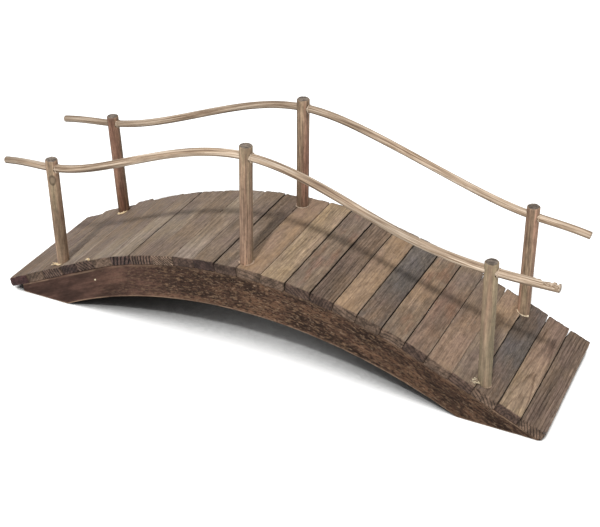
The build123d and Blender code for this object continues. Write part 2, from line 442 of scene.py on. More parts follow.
class Nodes:
    """Builds the node tree of a material or a world from short calls that return sockets."""

    def __init__(self, owner):
        owner.use_nodes = True
        self.owner = owner
        self.tree = owner.node_tree
        self.tree.nodes.clear()

    def add(self, kind, inputs=None, **settings):
        """Adds a node, sets its properties and gives its inputs a value or a link."""
        node = self.tree.nodes.new(kind)
        for key, value in settings.items():
            setattr(node, key, value)
        for key, value in (inputs or {}).items():
            socket = node.inputs[key]
            if isinstance(value, bpy.types.NodeSocket):
                self.tree.links.new(value, socket)
            else:
                socket.default_value = value
        return node

    def field(self, name, output="Fac"):
        """A field that was stored on the mesh, as a number or a vector."""
        node = self.add("ShaderNodeAttribute", attribute_name=name, attribute_type="GEOMETRY")
        return node.outputs[output]

    def parts(self, vector):
        """The three numbers of a vector."""
        return self.add("ShaderNodeSeparateXYZ", {0: vector}).outputs

    def math(self, operation, first, second=0.0, third=0.0):
        """Sum or other operation on up to three numbers."""
        return self.add("ShaderNodeMath", {0: first, 1: second, 2: third}, operation=operation).outputs[0]

    def noise(self, vector, scale, seed, detail=3, roughness=0.55):
        """Noise of about 0 to 1 over a vector in mm, with so many bumps a millimetre on each axis."""
        shift = tuple(seed * part for part in SEED_SHIFT)
        moved = self.add("ShaderNodeMapping", {"Vector": vector, "Scale": scale, "Location": shift})
        inputs = {"Vector": moved.outputs[0], "Scale": 1.0, "Detail": detail, "Roughness": roughness}
        return self.add("ShaderNodeTexNoise", inputs).outputs[0]

    def grain(self, place, across, along, *settings):
        """Noise with so many bumps a millimetre across the grain, and fewer along it."""
        return self.noise(place, (across, along, across), *settings)

    def span(self, value, low, high, to_low=0.0, to_high=1.0, smooth=False):
        """Maps a range of values to another and stops at its ends."""
        return self.add("ShaderNodeMapRange", {0: value, 1: low, 2: high, 3: to_low, 4: to_high}, clamp=True,
                        interpolation_type="SMOOTHSTEP" if smooth else "LINEAR").outputs[0]

    def ramp(self, value, stops):
        """Colour ramp with stops of place and colour."""
        node = self.add("ShaderNodeValToRGB", {0: value})
        elements = node.color_ramp.elements
        while len(elements) < len(stops):
            elements.new(0.5)
        for element, (place, colour) in zip(elements, stops):
            element.position = place
            element.color = (*colour, 1.0)
        return node.outputs[0]

    def mix(self, factor, first, second, blend="MIX"):
        """Two colours, each a socket or three numbers, blended by a factor."""
        inputs = {0: factor}
        for key, value in ((6, first), (7, second)):
            inputs[key] = value if isinstance(value, bpy.types.NodeSocket) else (*value, 1.0)
        return self.add("ShaderNodeMix", inputs, data_type="RGBA", blend_type=blend).outputs[2]

    def scaled(self, colour, factor):
        """Colour times a number."""
        return self.add("ShaderNodeVectorMath", {0: colour, "Scale": factor}, operation="SCALE").outputs[0]

    def vary(self, colour, noise, darkest, brightest):
        """Colour made darker and lighter by a noise."""
        return self.scaled(colour, self.span(noise, NOISE_LOW, NOISE_HIGH, darkest, brightest))

    def shows(self):
        """1 for the rays of the camera, of mirrors and of glass, and 0 for those that only carry light."""
        rays = self.add("ShaderNodeLightPath").outputs
        seen = self.math("MAXIMUM", rays["Is Camera Ray"], rays["Is Glossy Ray"])
        return self.math("MAXIMUM", seen, rays["Is Transmission Ray"])

    def finish(self, colour, roughness, height, depth, specular):
        """Ends the tree in a shader with a bump of the given depth in mm. The specular level is set on its
        socket."""
        bump = self.add("ShaderNodeBump", {"Height": height, "Distance": depth * MM, "Strength": 1.0})
        inputs = {"Base Color": colour, "Roughness": roughness, "Normal": bump.outputs[0]}
        shader = self.add("ShaderNodeBsdfPrincipled", inputs)
        shader.inputs["Specular IOR Level"].default_value = specular
        return self.close(shader.outputs[0])

    def close(self, shader, output="ShaderNodeOutputMaterial"):
        """Ends the tree in a shader and gives back the material or world that it belongs to."""
        self.add(output, {0: shader})
        return self.owner


def tone(name, factor=1.0):
    """One of the colours that the panel shows, made lighter or darker by a factor."""
    return tuple(factor * part for part in getattr(bpy.context.scene.moon_bridge_colours, name))


# Bands of warmer and cooler colour: bumps a millimetre on each axis, and the tints of the low, middle and
# high parts
BOARD_BANDS = ((0.07, 0.03, 0.07), (0.98, 0.97, 1.01), (1.0, 1.0, 0.98), (1.03, 1.0, 0.92))
POST_BANDS = ((0.16, 0.012, 0.16), (0.90, 0.98, 0.93), (1.0, 1.0, 0.98), (1.10, 0.97, 0.98))
# Streaks of wood: bumps a millimetre across and along the grain, seed, detail, roughness, and how much
# darker and lighter they make it at full strength
STREAKS = {
    "broad": (0.28, 0.014, 9, 3, 0.5, 0.30, 0.26),
    "long": (0.6, 0.02, 3, 4, 0.6, 0.40, 0.34),
    "fine": (1.5, 0.08, 4, 3, 0.6, 0.42, 0.34),
}
# Darkness over one growth ring, from one line to the next, and the tint of a line at its darkest
RING_DARKNESS = ((0.0, 0.15), (0.14, 0.0), (0.58, 0.12), (0.88, 1.0), (1.0, 0.5))
RING_TINT = (0.36, 0.31, 0.29)
# Painted shade in the joints: the share of the colour that is left at their bottom
PAINTED_JOINT_LIGHT = 0.10


def wood_finish(name, wood, seed, worn, end_tone, end_rings, bands):
    """Weathered wood: tones that blend along the piece and turn warmer or cooler in bands, pale and dark
    streaks, dark lines at the growth rings, short pores, worn edges and dark end grain, with painted shade
    down in the joints. Reads place in mm, rings, marks of wear, end and knot, and the painted shade of the
    joints."""
    n = Nodes(bpy.data.materials.new(name))
    place = n.field("place", "Vector")
    wear, cut, knot = n.parts(n.field("marks", "Vector"))
    blotch = n.grain(place, 0.09, 0.035, seed + 1)
    position = n.math("MULTIPLY_ADD", blotch, 0.5, n.math("MULTIPLY_ADD", n.parts(place)[1], 0.01, 0.25))
    count = len(wood.tones)
    colour = n.ramp(position, [((number + 0.5) / count, tone(key)) for number, key in enumerate(wood.tones)])
    if wood.stain:
        patch = n.span(n.grain(place, 0.10, 0.035, seed + 2), 0.48, 0.66, 0, 0.7, smooth=True)
        colour = n.mix(patch, colour, tone(wood.stain))
    tint = n.ramp(n.noise(place, bands[0], seed + 12, 3, 0.5), list(zip((0.38, 0.5, 0.62), bands[1:])))
    colour = n.mix(1.0, colour, tint, "MULTIPLY")
    streaks = {}
    for key, (across, along, step, detail, rough, darker, lighter) in STREAKS.items():
        streaks[key] = n.grain(place, across, along, seed + step, detail, rough)
        colour = n.vary(colour, streaks[key], 1 - darker * wood.streaks, 1 + lighter * wood.streaks)
    colour = n.vary(colour, n.grain(place, 0.45, 0.22, seed + 13, 3, 0.65), 0.86, 1.14)

    ring_part = n.math("FRACT", n.math("MULTIPLY_ADD", streaks["fine"], 0.22, n.field("rings")))
    ring = n.ramp(ring_part, [(at, (dark,) * 3) for at, dark in RING_DARKNESS])
    clearness = n.span(n.grain(place, 0.2, 0.02, seed + 5, 2), 0.36, 0.62, 0.3 * wood.rings, wood.rings)
    ring_strength = n.math("MULTIPLY", ring, clearness)
    colour = n.mix(ring_strength, colour, n.mix(1.0, colour, RING_TINT, "MULTIPLY"))
    pore = n.span(n.grain(place, 1.3, 0.45, seed + 6, 3, 0.65), 0.54, 0.66, 0, 0.75 * wood.pores)
    colour = n.mix(pore, colour, n.scaled(colour, 0.5))
    fleck = n.span(n.grain(place, 1.5, 0.22, seed + 7, 3, 0.6), 0.57, 0.70, 0, 0.6 * wood.pores)
    worn_edge = n.math("MULTIPLY", wear, n.span(n.grain(place, 0.5, 0.2, seed + 8), 0.40, 0.58, 0, 0.45))
    for share in (fleck, worn_edge, n.span(knot, 0.5, 0.8)):
        colour = n.mix(share, colour, tone(worn))
    knot_rim = n.math("MULTIPLY", n.span(knot, 0.15, 0.4), n.span(knot, 0.85, 0.55, 0, 0.8))
    colour = n.mix(knot_rim, colour, n.scaled(colour, 0.3))

    end_colour = n.vary(tone(end_tone), n.grain(place, 1.0, 0.0, seed + 10, 3, 0.65), 0.7, 1.35)
    patchy = n.grain(place, 0.22, 0.0, seed + 11, 2, 0.6)
    end_colour = n.scaled(end_colour, n.span(patchy, 0.40, 0.60, 0.62, 1.3))
    between, on_line = 1 + 0.5 * end_rings, max(0.12, 1 - 0.75 * end_rings)
    end_colour = n.scaled(end_colour, n.span(ring, 0.1, 0.6, between, on_line))
    colour = n.mix(cut, colour, end_colour)
    # Painted shade: the colour darkens down in the joints
    colour = n.scaled(colour, n.span(n.field("shade"), 0.0, 1.0, 1.0, PAINTED_JOINT_LIGHT))
    raised = n.math("MULTIPLY_ADD", streaks["fine"], 0.6, n.math("MULTIPLY", streaks["long"], 0.4))
    sunk = n.math("MULTIPLY_ADD", pore, 0.8, n.math("MULTIPLY", ring_strength, 0.5))
    roughness = n.span(streaks["long"], 0.3, 0.7, 0.58, 0.78)
    return n.finish(colour, roughness, n.math("SUBTRACT", raised, sunk), 0.3, 0.15)


def stringer_finish(name, seed):
    """Dark rough-sawn wood: a red-brown ground with near-black patches and fine lines along the arch,
    broken by pale scuffs and dark pits that fade towards the smoother, darker left end, and pale lines along
    both edges that are worn fibres and a painted highlight of the edges catching the light. Reads place in mm
    and the mark of wear, which carries those edge lines."""
    n = Nodes(bpy.data.materials.new(name))
    place = n.field("place", "Vector")
    along = n.parts(place)[0]
    wear = n.parts(n.field("marks", "Vector"))[0]
    torn_part = n.span(along, -150.0, -20.0, smooth=True)
    patch = n.noise(place, (0.032, 0.06, 0.10), seed + 1, 4, 0.6)
    torn_ground = n.ramp(patch, [(0.38, tone("stringer_brown", 0.45)), (0.5, tone("stringer_brown")),
                                 (0.62, tone("stringer_red"))])
    smooth_ground = n.ramp(patch, [(0.40, tone("stringer_smooth", 0.72)), (0.5, tone("stringer_smooth")),
                                   (0.60, tone("stringer_smooth", 1.5))])
    smooth_ground = n.scaled(smooth_ground, n.span(along, -125.0, -80.0, 0.9, 2.2, smooth=True))
    colour = n.mix(torn_part, smooth_ground, torn_ground)
    lines = n.noise(place, (0.03, 0.55, 0.55), seed + 2, 4, 0.6)
    darkest, brightest = (n.span(torn_part, 0.0, 1.0, *ends) for ends in ((0.82, 0.74), (1.16, 1.26)))
    colour = n.vary(colour, lines, darkest, brightest)
    colour = n.vary(colour, n.noise(place, (0.22, 0.45, 0.45), seed + 7, 3, 0.6), 0.88, 1.12)
    torn = n.noise(place, (0.20, 0.62, 0.62), seed + 3, 4, 0.68)
    pitted = n.noise(place, (0.32, 0.85, 0.85), seed + 4, 3, 0.65)
    frayed = n.noise(place, (0.36, 0.85, 0.85), seed + 5, 3, 0.6)
    relief = n.math("MULTIPLY", lines, 0.5)
    for noise, low, high, strength, key, height in (
        (torn, 0.52, 0.60, 0.8, "stringer_scuff", 0.5),
        (pitted, 0.52, 0.60, 0.78, "stringer_black", -0.8),
        (frayed, 0.58, 0.68, 0.55, "worn_fibre", 0.0),
    ):
        rough = n.math("MULTIPLY", n.span(noise, low, high), torn_part)
        colour = n.mix(n.math("MULTIPLY", rough, strength), colour, tone(key))
        relief = n.math("MULTIPLY_ADD", rough, height, relief)
    colour = n.scaled(colour, n.span(along, 70.0, 125.0, 1.0, 0.82, smooth=True))
    uneven = n.span(n.noise(place, (0.07, 0.3, 0.3), seed + 6), 0.40, 0.56, 0.25, 0.95)
    # Pale edge lines: worn fibres and a painted highlight where the edges catch the light
    colour = n.mix(n.math("MULTIPLY", wear, uneven), colour, tone("edge_fibre_and_highlight"))
    speck = n.add("ShaderNodeVectorMath", {0: place, 1: STRINGER_SPECK}, operation="DISTANCE")
    colour = n.mix(n.span(speck.outputs["Value"], 0.9, 0.5), colour, tone("glue_pale"))
    return n.finish(colour, n.span(torn, 0.35, 0.65, 0.85, 0.7), relief, 0.5, 0.1)


def cane_finish(name, seed):
    """Pale split cane: fine fibres along the rail, golden-brown streaks, dark cracks and bruises here and
    there, and a darker underside that is painted shade. Reads place, whose Y runs along the rail, and the
    mark of the cut ends."""
    n = Nodes(bpy.data.materials.new(name))
    place = n.field("place", "Vector")
    cut = n.parts(n.field("marks", "Vector"))[1]
    fibre = n.grain(place, 1.5, 0.03, seed + 1, 4, 0.6)
    streak = n.grain(place, 0.55, 0.016, seed + 2)
    colour = n.ramp(n.math("MULTIPLY_ADD", streak, 0.6, n.math("MULTIPLY", fibre, 0.4)),
                    [(0.38, tone("cane_brown")), (0.49, tone("cane_tan")), (0.60, tone("cane_pale"))])
    colour = n.vary(colour, fibre, 0.74, 1.18)
    crack = n.span(n.grain(place, 1.2, 0.022, seed + 4, 2, 0.5), 0.60, 0.66, 0, 0.7)
    bruise = n.span(n.grain(place, 0.5, 0.07, seed + 3, 3, 0.6), 0.57, 0.70, 0, 0.55)
    for share in (crack, bruise):
        colour = n.mix(share, colour, tone("cane_brown"))
    # Painted shade: the colour darkens towards the underside of the rail
    under = n.math("MULTIPLY_ADD", n.math("SUBTRACT", streak, 0.5), 4.0, n.parts(place)[2])
    slow = n.grain(place, 0.05, 0.012, seed + 5, 2, 0.5)
    colour = n.scaled(colour, n.span(under, -2.2, 0.6, 0.60, 1.0, smooth=True))
    colour = n.scaled(colour, n.span(slow, 0.38, 0.62, 0.80, 1.12))
    colour = n.scaled(colour, n.span(n.parts(place)[1], 10.0, 60.0, 0.76, 1.0))
    colour = n.mix(n.math("MULTIPLY", cut, 0.55), colour, n.scaled(colour, 0.55))
    relief = n.math("SUBTRACT", fibre, n.math("MULTIPLY", crack, 0.6))
    return n.finish(colour, n.span(fibre, 0.3, 0.7, 0.66, 0.52), relief, 0.2, 0.3)


def glue_finish(name, pale, deep, seed):
    """Dried glue and torn fibres: a pale crust that turns amber in its hollows, with fine grit."""
    n = Nodes(bpy.data.materials.new(name))
    grit = n.noise(n.field("place", "Vector"), (1.5, 1.5, 1.5), seed + 1, 4, 0.6)
    colour = n.ramp(grit, [(0.36, tone(deep)), (0.6, tone(pale))])
    return n.finish(colour, n.span(grit, 0.3, 0.7, 0.35, 0.6), grit, 0.15, 0.5)


def floor_finish():
    """Plain pale floor with a faint mottle. The camera and glossy rays see it lifted to white where it is
    open to the light. Under the bridge, ambient occlusion darkens its colour and holds back the lift: a
    painted shade."""
    n = Nodes(bpy.data.materials.new("floor"))
    where = n.add("ShaderNodeTexCoord").outputs["Object"]
    mottle = n.add("ShaderNodeTexNoise", {"Vector": where, "Scale": 9.0, "Detail": 3.0}).outputs[0]
    openness = n.add("ShaderNodeAmbientOcclusion", {"Distance": 0.10}, samples=12).outputs["AO"]
    colour = n.scaled(tone("floor"), n.span(mottle, 0.3, 0.7, 0.98, 1.0))
    # Painted shade: the colour darkens where ambient occlusion finds the floor closed in under the bridge
    colour = n.scaled(colour, n.span(openness, 0.24, 0.46, 0.15, 1.0))
    diffuse = n.add("ShaderNodeBsdfDiffuse", {"Color": colour}).outputs[0]
    # Painted shade: the lift to white fades out where the floor is closed in
    strength = n.math("MULTIPLY", n.shows(), n.span(openness, 0.34, 0.54, 0.0, 0.6))
    lift = n.add("ShaderNodeEmission", {"Color": (1, 1, 1, 1), "Strength": strength}).outputs[0]
    return n.close(n.add("ShaderNodeAddShader", {0: diffuse, 1: lift}).outputs[0])


# Sizes and colours that a user may change

def mm_length(name, description, default, highest):
    """A length in metres, with its default and highest value given in mm."""
    return FloatProperty(name=name, description=description, default=default * MM, min=0.0, max=highest * MM,
                         unit="LENGTH", subtype="DISTANCE", precision=5)


def degree_angle(name, description, degrees):
    """An angle, with its default given in degrees."""
    return FloatProperty(name=name, description=description, default=math.radians(degrees), subtype="ANGLE",
                         unit="ROTATION")


def wood_colour(name, description, default):
    """A colour, with its default in linear light."""
    return FloatVectorProperty(name=name, description=description, default=default, min=0.0, max=1.0, size=3,
                               subtype="COLOR")


class MoonBridgeSizes(bpy.types.PropertyGroup):
    """Sizes of the wear, the grain and the glue"""
    edge_round: mm_length("Edge wear", "Radius to which the boards' edges are worn", 0.55, 2)
    grain_depth: mm_length("Grain depth", "How far the soft wood lies below the hard rings", 0.16, 1)
    tight_joint: mm_length("Tight joint", "Width of the joints that are nearly closed", 0.12, 1)
    open_joint: mm_length("Open joint", "Width of the joints that show as dark lines", 0.5, 1)
    board_wear: mm_length("Board wear", "How far the boards' ends are worn down", 0.9, 2)
    uneven_ends: mm_length("Uneven ends", "How much the boards' ends differ past the part's own", 0.35, 3)
    stringer_roughness: mm_length("Stringer roughness", "Depth of the stringers' torn grain", 0.22, 1)
    post_roughness: mm_length("Post roughness", "How far the posts are from round", 0.16, 1)
    fibre_depth: mm_length("Fibre depth", "Depth of the grooves between the cane's fibres", 0.07, 0.5)
    glue_bead: mm_length("Glue bead", "Thickness of the glue round a post's foot", 0.75, 2)


class MoonBridgeColours(bpy.types.PropertyGroup):
    """Colours of the woods, the cane, the glue and the floor"""
    grey_brown: wood_colour("Grey brown", "Weathered brown of most boards", (0.245, 0.180, 0.134))
    pale_grey: wood_colour("Pale grey", "Silvery wood on worn places", (0.33, 0.26, 0.20))
    tan: wood_colour("Tan", "Warm tan boards", (0.345, 0.236, 0.157))
    pale_tan: wood_colour("Pale tan", "Yellowish board right of the crown", (0.40, 0.29, 0.19))
    orange_tan: wood_colour("Orange tan", "Orange patches", (0.345, 0.235, 0.158))
    red_brown: wood_colour("Red brown", "Reddish patches", (0.235, 0.140, 0.098))
    pink_brown: wood_colour("Pink brown", "Pinkish boards", (0.262, 0.178, 0.130))
    brown: wood_colour("Brown", "Plain darker brown", (0.195, 0.137, 0.101))
    dark_brown: wood_colour("Dark brown", "Darkest boards", (0.145, 0.104, 0.080))
    blue_grey: wood_colour("Blue grey", "Stained grey wood", (0.138, 0.118, 0.108))
    end_black: wood_colour("End black", "Darkest sawn ends", (0.050, 0.031, 0.026))
    end_red: wood_colour("End red", "Reddish black end of the first board", (0.052, 0.025, 0.024))
    end_brown: wood_colour("End brown", "Dark brown sawn ends", (0.078, 0.050, 0.038))
    end_tan: wood_colour("End tan", "Paler sawn ends", (0.125, 0.084, 0.060))
    stringer_black: wood_colour("Stringer black", "Darkest patches of the stringers", (0.024, 0.015, 0.012))
    stringer_brown: wood_colour("Stringer brown", "Ground colour of the stringers", (0.078, 0.043, 0.029))
    stringer_red: wood_colour("Stringer red", "Redder patches of the stringers", (0.150, 0.082, 0.050))
    stringer_smooth: wood_colour("Stringer smooth", "The stringers' left ends", (0.070, 0.038, 0.029))
    stringer_scuff: wood_colour("Stringer scuff", "Torn fibres on the stringers", (0.215, 0.132, 0.080))
    # Its lines also stand for a painted highlight where the stringers' edges catch the light
    edge_fibre_and_highlight: wood_colour("Edge fibre", "Worn lines along the stringers' edges", (0.30, 0.20, 0.135))
    worn_fibre: wood_colour("Worn fibre", "Brightest torn fibres", (0.36, 0.25, 0.17))
    post_end: wood_colour("Post end", "Weathered tops of the posts", (0.185, 0.150, 0.122))
    post_tan: wood_colour("Post tan", "Pale side of the posts", (0.37, 0.265, 0.18))
    post_grey: wood_colour("Post grey", "Greenish grey wood of the posts", (0.285, 0.212, 0.145))
    post_warm: wood_colour("Post warm", "Pinkish brown of the posts", (0.36, 0.235, 0.165))
    post_brown: wood_colour("Post brown", "Brown of the posts", (0.255, 0.160, 0.110))
    post_red: wood_colour("Post red", "Reddish brown of the far posts", (0.175, 0.092, 0.055))
    cane_pale: wood_colour("Cane pale", "Palest cane", (0.66, 0.54, 0.42))
    cane_tan: wood_colour("Cane tan", "Middle tone of the cane", (0.47, 0.345, 0.24))
    cane_brown: wood_colour("Cane brown", "Golden brown streaks of the cane", (0.20, 0.125, 0.075))
    glue_pale: wood_colour("Glue pale", "Pale dried glue", (0.86, 0.74, 0.52))
    glue_amber: wood_colour("Glue amber", "Amber glue", (0.66, 0.43, 0.18))
    floor: wood_colour("Floor", "Studio floor", (0.86, 0.86, 0.85))


class MoonBridgeStage(bpy.types.PropertyGroup):
    """Camera, lights and floor"""
    lens: FloatProperty(name="Lens", description="Focal length on a 36 mm wide sensor", default=70.62, min=10,
                        max=300)
    azimuth: degree_angle("Azimuth", "Where the camera stands, turned from -Y towards +X", 29.41)
    elevation: degree_angle("Elevation", "How far the camera looks down", 32.916)
    roll: degree_angle("Roll", "Tilt of the picture", 3.056)
    location: FloatVectorProperty(name="Location", description="Place of the camera", subtype="TRANSLATION",
                                  unit="LENGTH", default=(0.347290, -0.590747, 0.488225), size=3)
    shift: FloatVectorProperty(name="Shift", description="Shift of the picture, as a share of its width",
                               default=(-0.5 / 600, 0.5 / 600), size=2)
    key_strength: FloatProperty(name="Key strength", description="Strength of the key light", default=2.0,
                                min=0)
    key_azimuth: degree_angle("Key azimuth", "Way the key light falls, turned from +Y to -X", 13.8)
    key_elevation: degree_angle("Key elevation", "Height of the key light", 52.5)
    key_softness: degree_angle("Key softness", "Apparent width of the key light", 3.3)
    fill_strength: FloatProperty(name="Fill strength", description="Strength of the light from all round",
                                 default=0.55, min=0)


# One piece's wood: tones along it, place of the pith across and below the middle in mm, its drift per mm
# along the piece, ring spacing in mm, strength of the rings, the streaks and the pores, and a stain where
# there is one
Wood = namedtuple("Wood", "tones pith drift spacing rings streaks pores stain")

# Boards, from the left end to the right, with their tones from the near end to the far one
BOARD_LOOKS = tuple(Wood(*look) for look in (
    (("brown", "grey_brown", "brown"), (-30, -40), (0.02, 0.03), 2.6, 0.35, 0.45, 0.5, None),
    (("grey_brown", "brown", "grey_brown"), (25, -30), (0.03, 0.02), 2.4, 0.3, 0.4, 0.5, None),
    (("brown", "grey_brown", "brown"), (-45, -8), (-0.02, 0.02), 2.4, 0.3, 0.45, 0.5, None),
    (("pale_grey", "grey_brown", "grey_brown"), (30, -35), (0.02, 0.02), 2.2, 0.3, 0.4, 0.5, None),
    (("grey_brown", "grey_brown", "grey_brown"), (-30, -30), (0.03, -0.02), 2.6, 0.3, 0.4, 0.5, None),
    (("pale_grey", "grey_brown", "grey_brown"), (20, -40), (0.01, 0.04), 2.4, 0.3, 0.4, 0.5, None),
    (("pale_grey", "pale_grey", "grey_brown"), (50, -25), (0.02, 0.0), 2.9, 0.3, 0.45, 0.5, None),
    (("grey_brown", "pale_grey", "grey_brown"), (60, -12), (0.03, 0.0), 2.5, 0.3, 0.45, 0.5, None),
    (("grey_brown", "grey_brown", "grey_brown"), (-35, -35), (0.0, 0.03), 1.6, 0.35, 0.5, 0.5, None),
    (("pale_grey", "grey_brown", "pale_grey"), (24, -34), (0.03, 0.03), 2.2, 0.35, 0.5, 0.5, None),
    (("grey_brown", "grey_brown", "grey_brown"), (-30, -40), (0.02, 0.05), 2.2, 0.35, 0.5, 0.6, None),
    (("grey_brown", "grey_brown", "brown"), (30, -30), (0.02, 0.02), 2.0, 0.3, 0.5, 1.0, None),
    (("orange_tan", "tan", "orange_tan"), (-10, -60), (0.05, 0.10), 3.4, 0.25, 0.35, 0.4, None),
    (("pale_tan", "pale_tan", "pale_tan"), (30, -22), (0.05, 0.02), 2.6, 0.55, 0.6, 0.6, None),
    (("grey_brown", "grey_brown", "grey_brown"), (-25, -35), (0.03, 0.03), 2.2, 0.35, 0.55, 0.6, "red_brown"),
    (("brown", "brown", "brown"), (45, -12), (0.0, 0.0), 1.9, 0.8, 0.7, 0.6, None),
    (("tan", "tan", "tan"), (-14, -50), (0.04, 0.05), 3.0, 0.3, 0.45, 0.5, None),
    (("brown", "blue_grey", "blue_grey"), (-30, -30), (0.03, 0.03), 2.4, 0.3, 0.55, 0.7, "blue_grey"),
    (("grey_brown", "orange_tan", "grey_brown"), (6, -40), (0.06, 0.06), 2.4, 0.3, 0.55, 0.6, "red_brown"),
    (("pink_brown", "red_brown", "grey_brown"), (-20, -34), (0.05, 0.06), 2.6, 0.3, 0.5, 0.6, "brown"),
    (("orange_tan", "pink_brown", "grey_brown"), (8, -44), (0.03, 0.06), 2.6, 0.3, 0.5, 0.6, None),
    (("grey_brown", "grey_brown", "tan"), (-6, -36), (0.05, 0.04), 2.2, 0.3, 0.5, 0.6, None),
    (("brown", "blue_grey", "dark_brown"), (-26, -30), (0.04, 0.04), 2.2, 0.4, 0.6, 0.6, "blue_grey"),
    (("pale_tan", "tan", "pink_brown"), (1.5, -5), (0.01, -0.06), 2.1, 0.75, 0.6, 0.4, None),
    (("brown", "brown", "brown"), (-34, -22), (0.02, 0.0), 1.9, 0.85, 0.75, 0.4, None),
))
# Sawn ends, from the left board to the right: their tone and how strongly the growth rings show there
END_LOOKS = (
    ("end_red", 0.2), ("end_tan", 0.3), ("end_brown", 1.2), ("end_black", 0.5), ("end_brown", 1.0),
    ("end_tan", 0.2), ("end_black", 1.5), ("end_brown", 1.6), ("end_tan", 1.3), ("end_brown", 0.2),
    ("end_black", 0.2), ("end_brown", 0.2), ("end_tan", 0.4), ("end_tan", 0.3), ("end_brown", 0.5),
    ("end_brown", 0.4), ("end_tan", 0.5), ("end_tan", 0.2), ("end_tan", 0.6), ("end_brown", 0.4),
    ("end_tan", 0.3), ("end_brown", 0.6), ("end_tan", 0.7), ("end_brown", 0.4), ("end_tan", 0.8),
)
# How far near ends stand out past the part's own, and the left board's lower edge past its upper one, in mm
NEAR_STICK_OUT = {1: 0.65, 2: 0.2}
LEFT_FOOT = 1.4
# Joints that show as dark lines, by the board to their left, as a share of the panel's open joint
OPEN_JOINTS = {1: 0.3, 2: 0.6, 7: 1.3, 11: 1.6, 12: 0.4, 14: 0.9, 15: 1.1, 16: 0.3, 17: 0.5, 18: 0.7, 19: 0.5,
               20: 0.5, 22: 0.8, 23: 0.8, 24: 0.9}
# Joints that are open right through at their far end, with that opening's width in mm
FAR_NOTCHES = {21: 0.8, 23: 1.0, 24: 1.2}
# Speck of glue on the stringers: place along X, out from the middle and below the top, in mm
STRINGER_SPECK = (-125.6, -9.0, 9.0)
# Waves of a joint's line: how far it wanders and over what length, in mm, and their seed
JOINT_WAVES = ((0.30, 38.0, 40), (0.08, 6.0, 80))

# Grids of the boards and the stringers: points along a wide face, along a narrow face and round a corner,
# and rings over an end face and round its edge
BOARD_GRID = (34, 7, 2)
BOARD_ENDS = (7, 2)
STRINGER_GRID = (30, 12, 2)
STRINGER_ENDS = (4, 2)
# Distances of the rings that lie closer near a board's ends, in mm
CLOSE_RINGS = np.array([0, 0.4, 0.9, 1.5, 2.3, 3.3])
# How far the deck's two free edges lie inside its full length, in mm
FREE_EDGE_INSET = 0.25
# Skew of the boards' ends, as a share of the way across
END_SKEW = 0.012
# Wear at a board's end and rounding of its corners: how quickly they fade along the board, and how wide the
# corners' rounding is, in mm
WEAR_FADE = 1.1
CORNER_FADE = 0.8
CORNER_WIDTH = 1.4
# Bend of the growth rings: its waves a millimetre across, along and down, and how many rings it moves them
BOARD_RINGS = (0.05, 0.022, 0.05), 0.55
POST_RINGS = (0.06, 0.02, 0.06), 0.4
# Rounding of the stringers' edges, in mm
STRINGER_EDGE = 0.45


def joint_lines(number, position, sizes):
    """Offset of a joint's middle and its widths at the top and at the bottom, at places along the boards:
    slow noise about a mean at the top, and closed at the bottom apart from a notch at some far ends."""
    offset = sum(far * line_noise(position / long, seed + number) for far, long, seed in JOINT_WAVES)
    share = OPEN_JOINTS.get(number, 0.0)
    tight = sizes.tight_joint / MM
    mean = tight * (1 - share) + sizes.open_joint / MM * share
    upper = mean * (1 + 0.35 * line_noise(position / 16.0, 120 + number))
    notch = FAR_NOTCHES.get(number, 0.0) * np.clip((position - 46.0) / 4.0, 0, 1)
    return offset, np.maximum(upper, notch), np.maximum(0.3 * tight, notch)


def ring_phase(place, wood, waves, bend, seed):
    """Growth rings of a piece: distance from the pith's line over the ring spacing, bent by slow noise with
    so many waves a millimetre."""
    (pith_across, pith_down), (drift_across, drift_down) = wood.pith, wood.drift
    across = place[..., 0] - pith_across - drift_across * place[..., 1]
    down = place[..., 2] - pith_down - drift_down * place[..., 1]
    return np.hypot(across, down) / wood.spacing + bend * layered_noise(place * waves, seed, 2)


def board_ends(number, sizes):
    """Places of a board's near and far ends, a little inside its full length, and the skew of each, by
    noise."""
    share = 0.5 + 0.5 * line_noise(np.array([number * 1.7, number * 2.3]), 300, 1)
    skew = END_SKEW * line_noise(np.array([number * 3.1, number * 4.3]), 301, 1)
    in_near, in_far = sizes.uneven_ends / MM * share
    if number in NEAR_STICK_OUT:
        in_near = -NEAR_STICK_OUT[number]
    near_end = -(BOARD_LENGTH / 2 + BOARD_END_REACHES["near"][number - 1]) + in_near
    far_end = BOARD_LENGTH / 2 + BOARD_END_REACHES["far"][number - 1] - in_far
    return near_end, far_end, skew


def board_edges(number, width, body, near_end, far_end, sizes):
    """Places across a board of its left and right edges, each at the bottom and at the top, for places
    along it: half a joint inside the joint's middle. The deck's two ends are free edges that wander by
    noise."""
    reach = width / 2 + BOARD_GAP / 2
    left_offset, left_top, left_low = joint_lines(number - 1, body, sizes)
    right_offset, right_top, right_low = joint_lines(number, body, sizes)
    left_edges = [-reach + left_offset + gap / 2 for gap in (left_low, left_top)]
    right_edges = [reach + right_offset - gap / 2 for gap in (right_low, right_top)]
    if number == 1:
        left_top = -width / 2 + FREE_EDGE_INSET + 0.2 * line_noise(body / 9.0, 30)
        left_edges = [left_top - LEFT_FOOT, left_top]
    if number == len(BOARD_WIDTHS):
        flare = LAST_BOARD_FLARE * (far_end - body) / (far_end - near_end)
        right_edges = [width / 2 + flare - FREE_EDGE_INSET + 0.2 * line_noise(body / 9.0, 31)] * 2
    return left_edges, right_edges


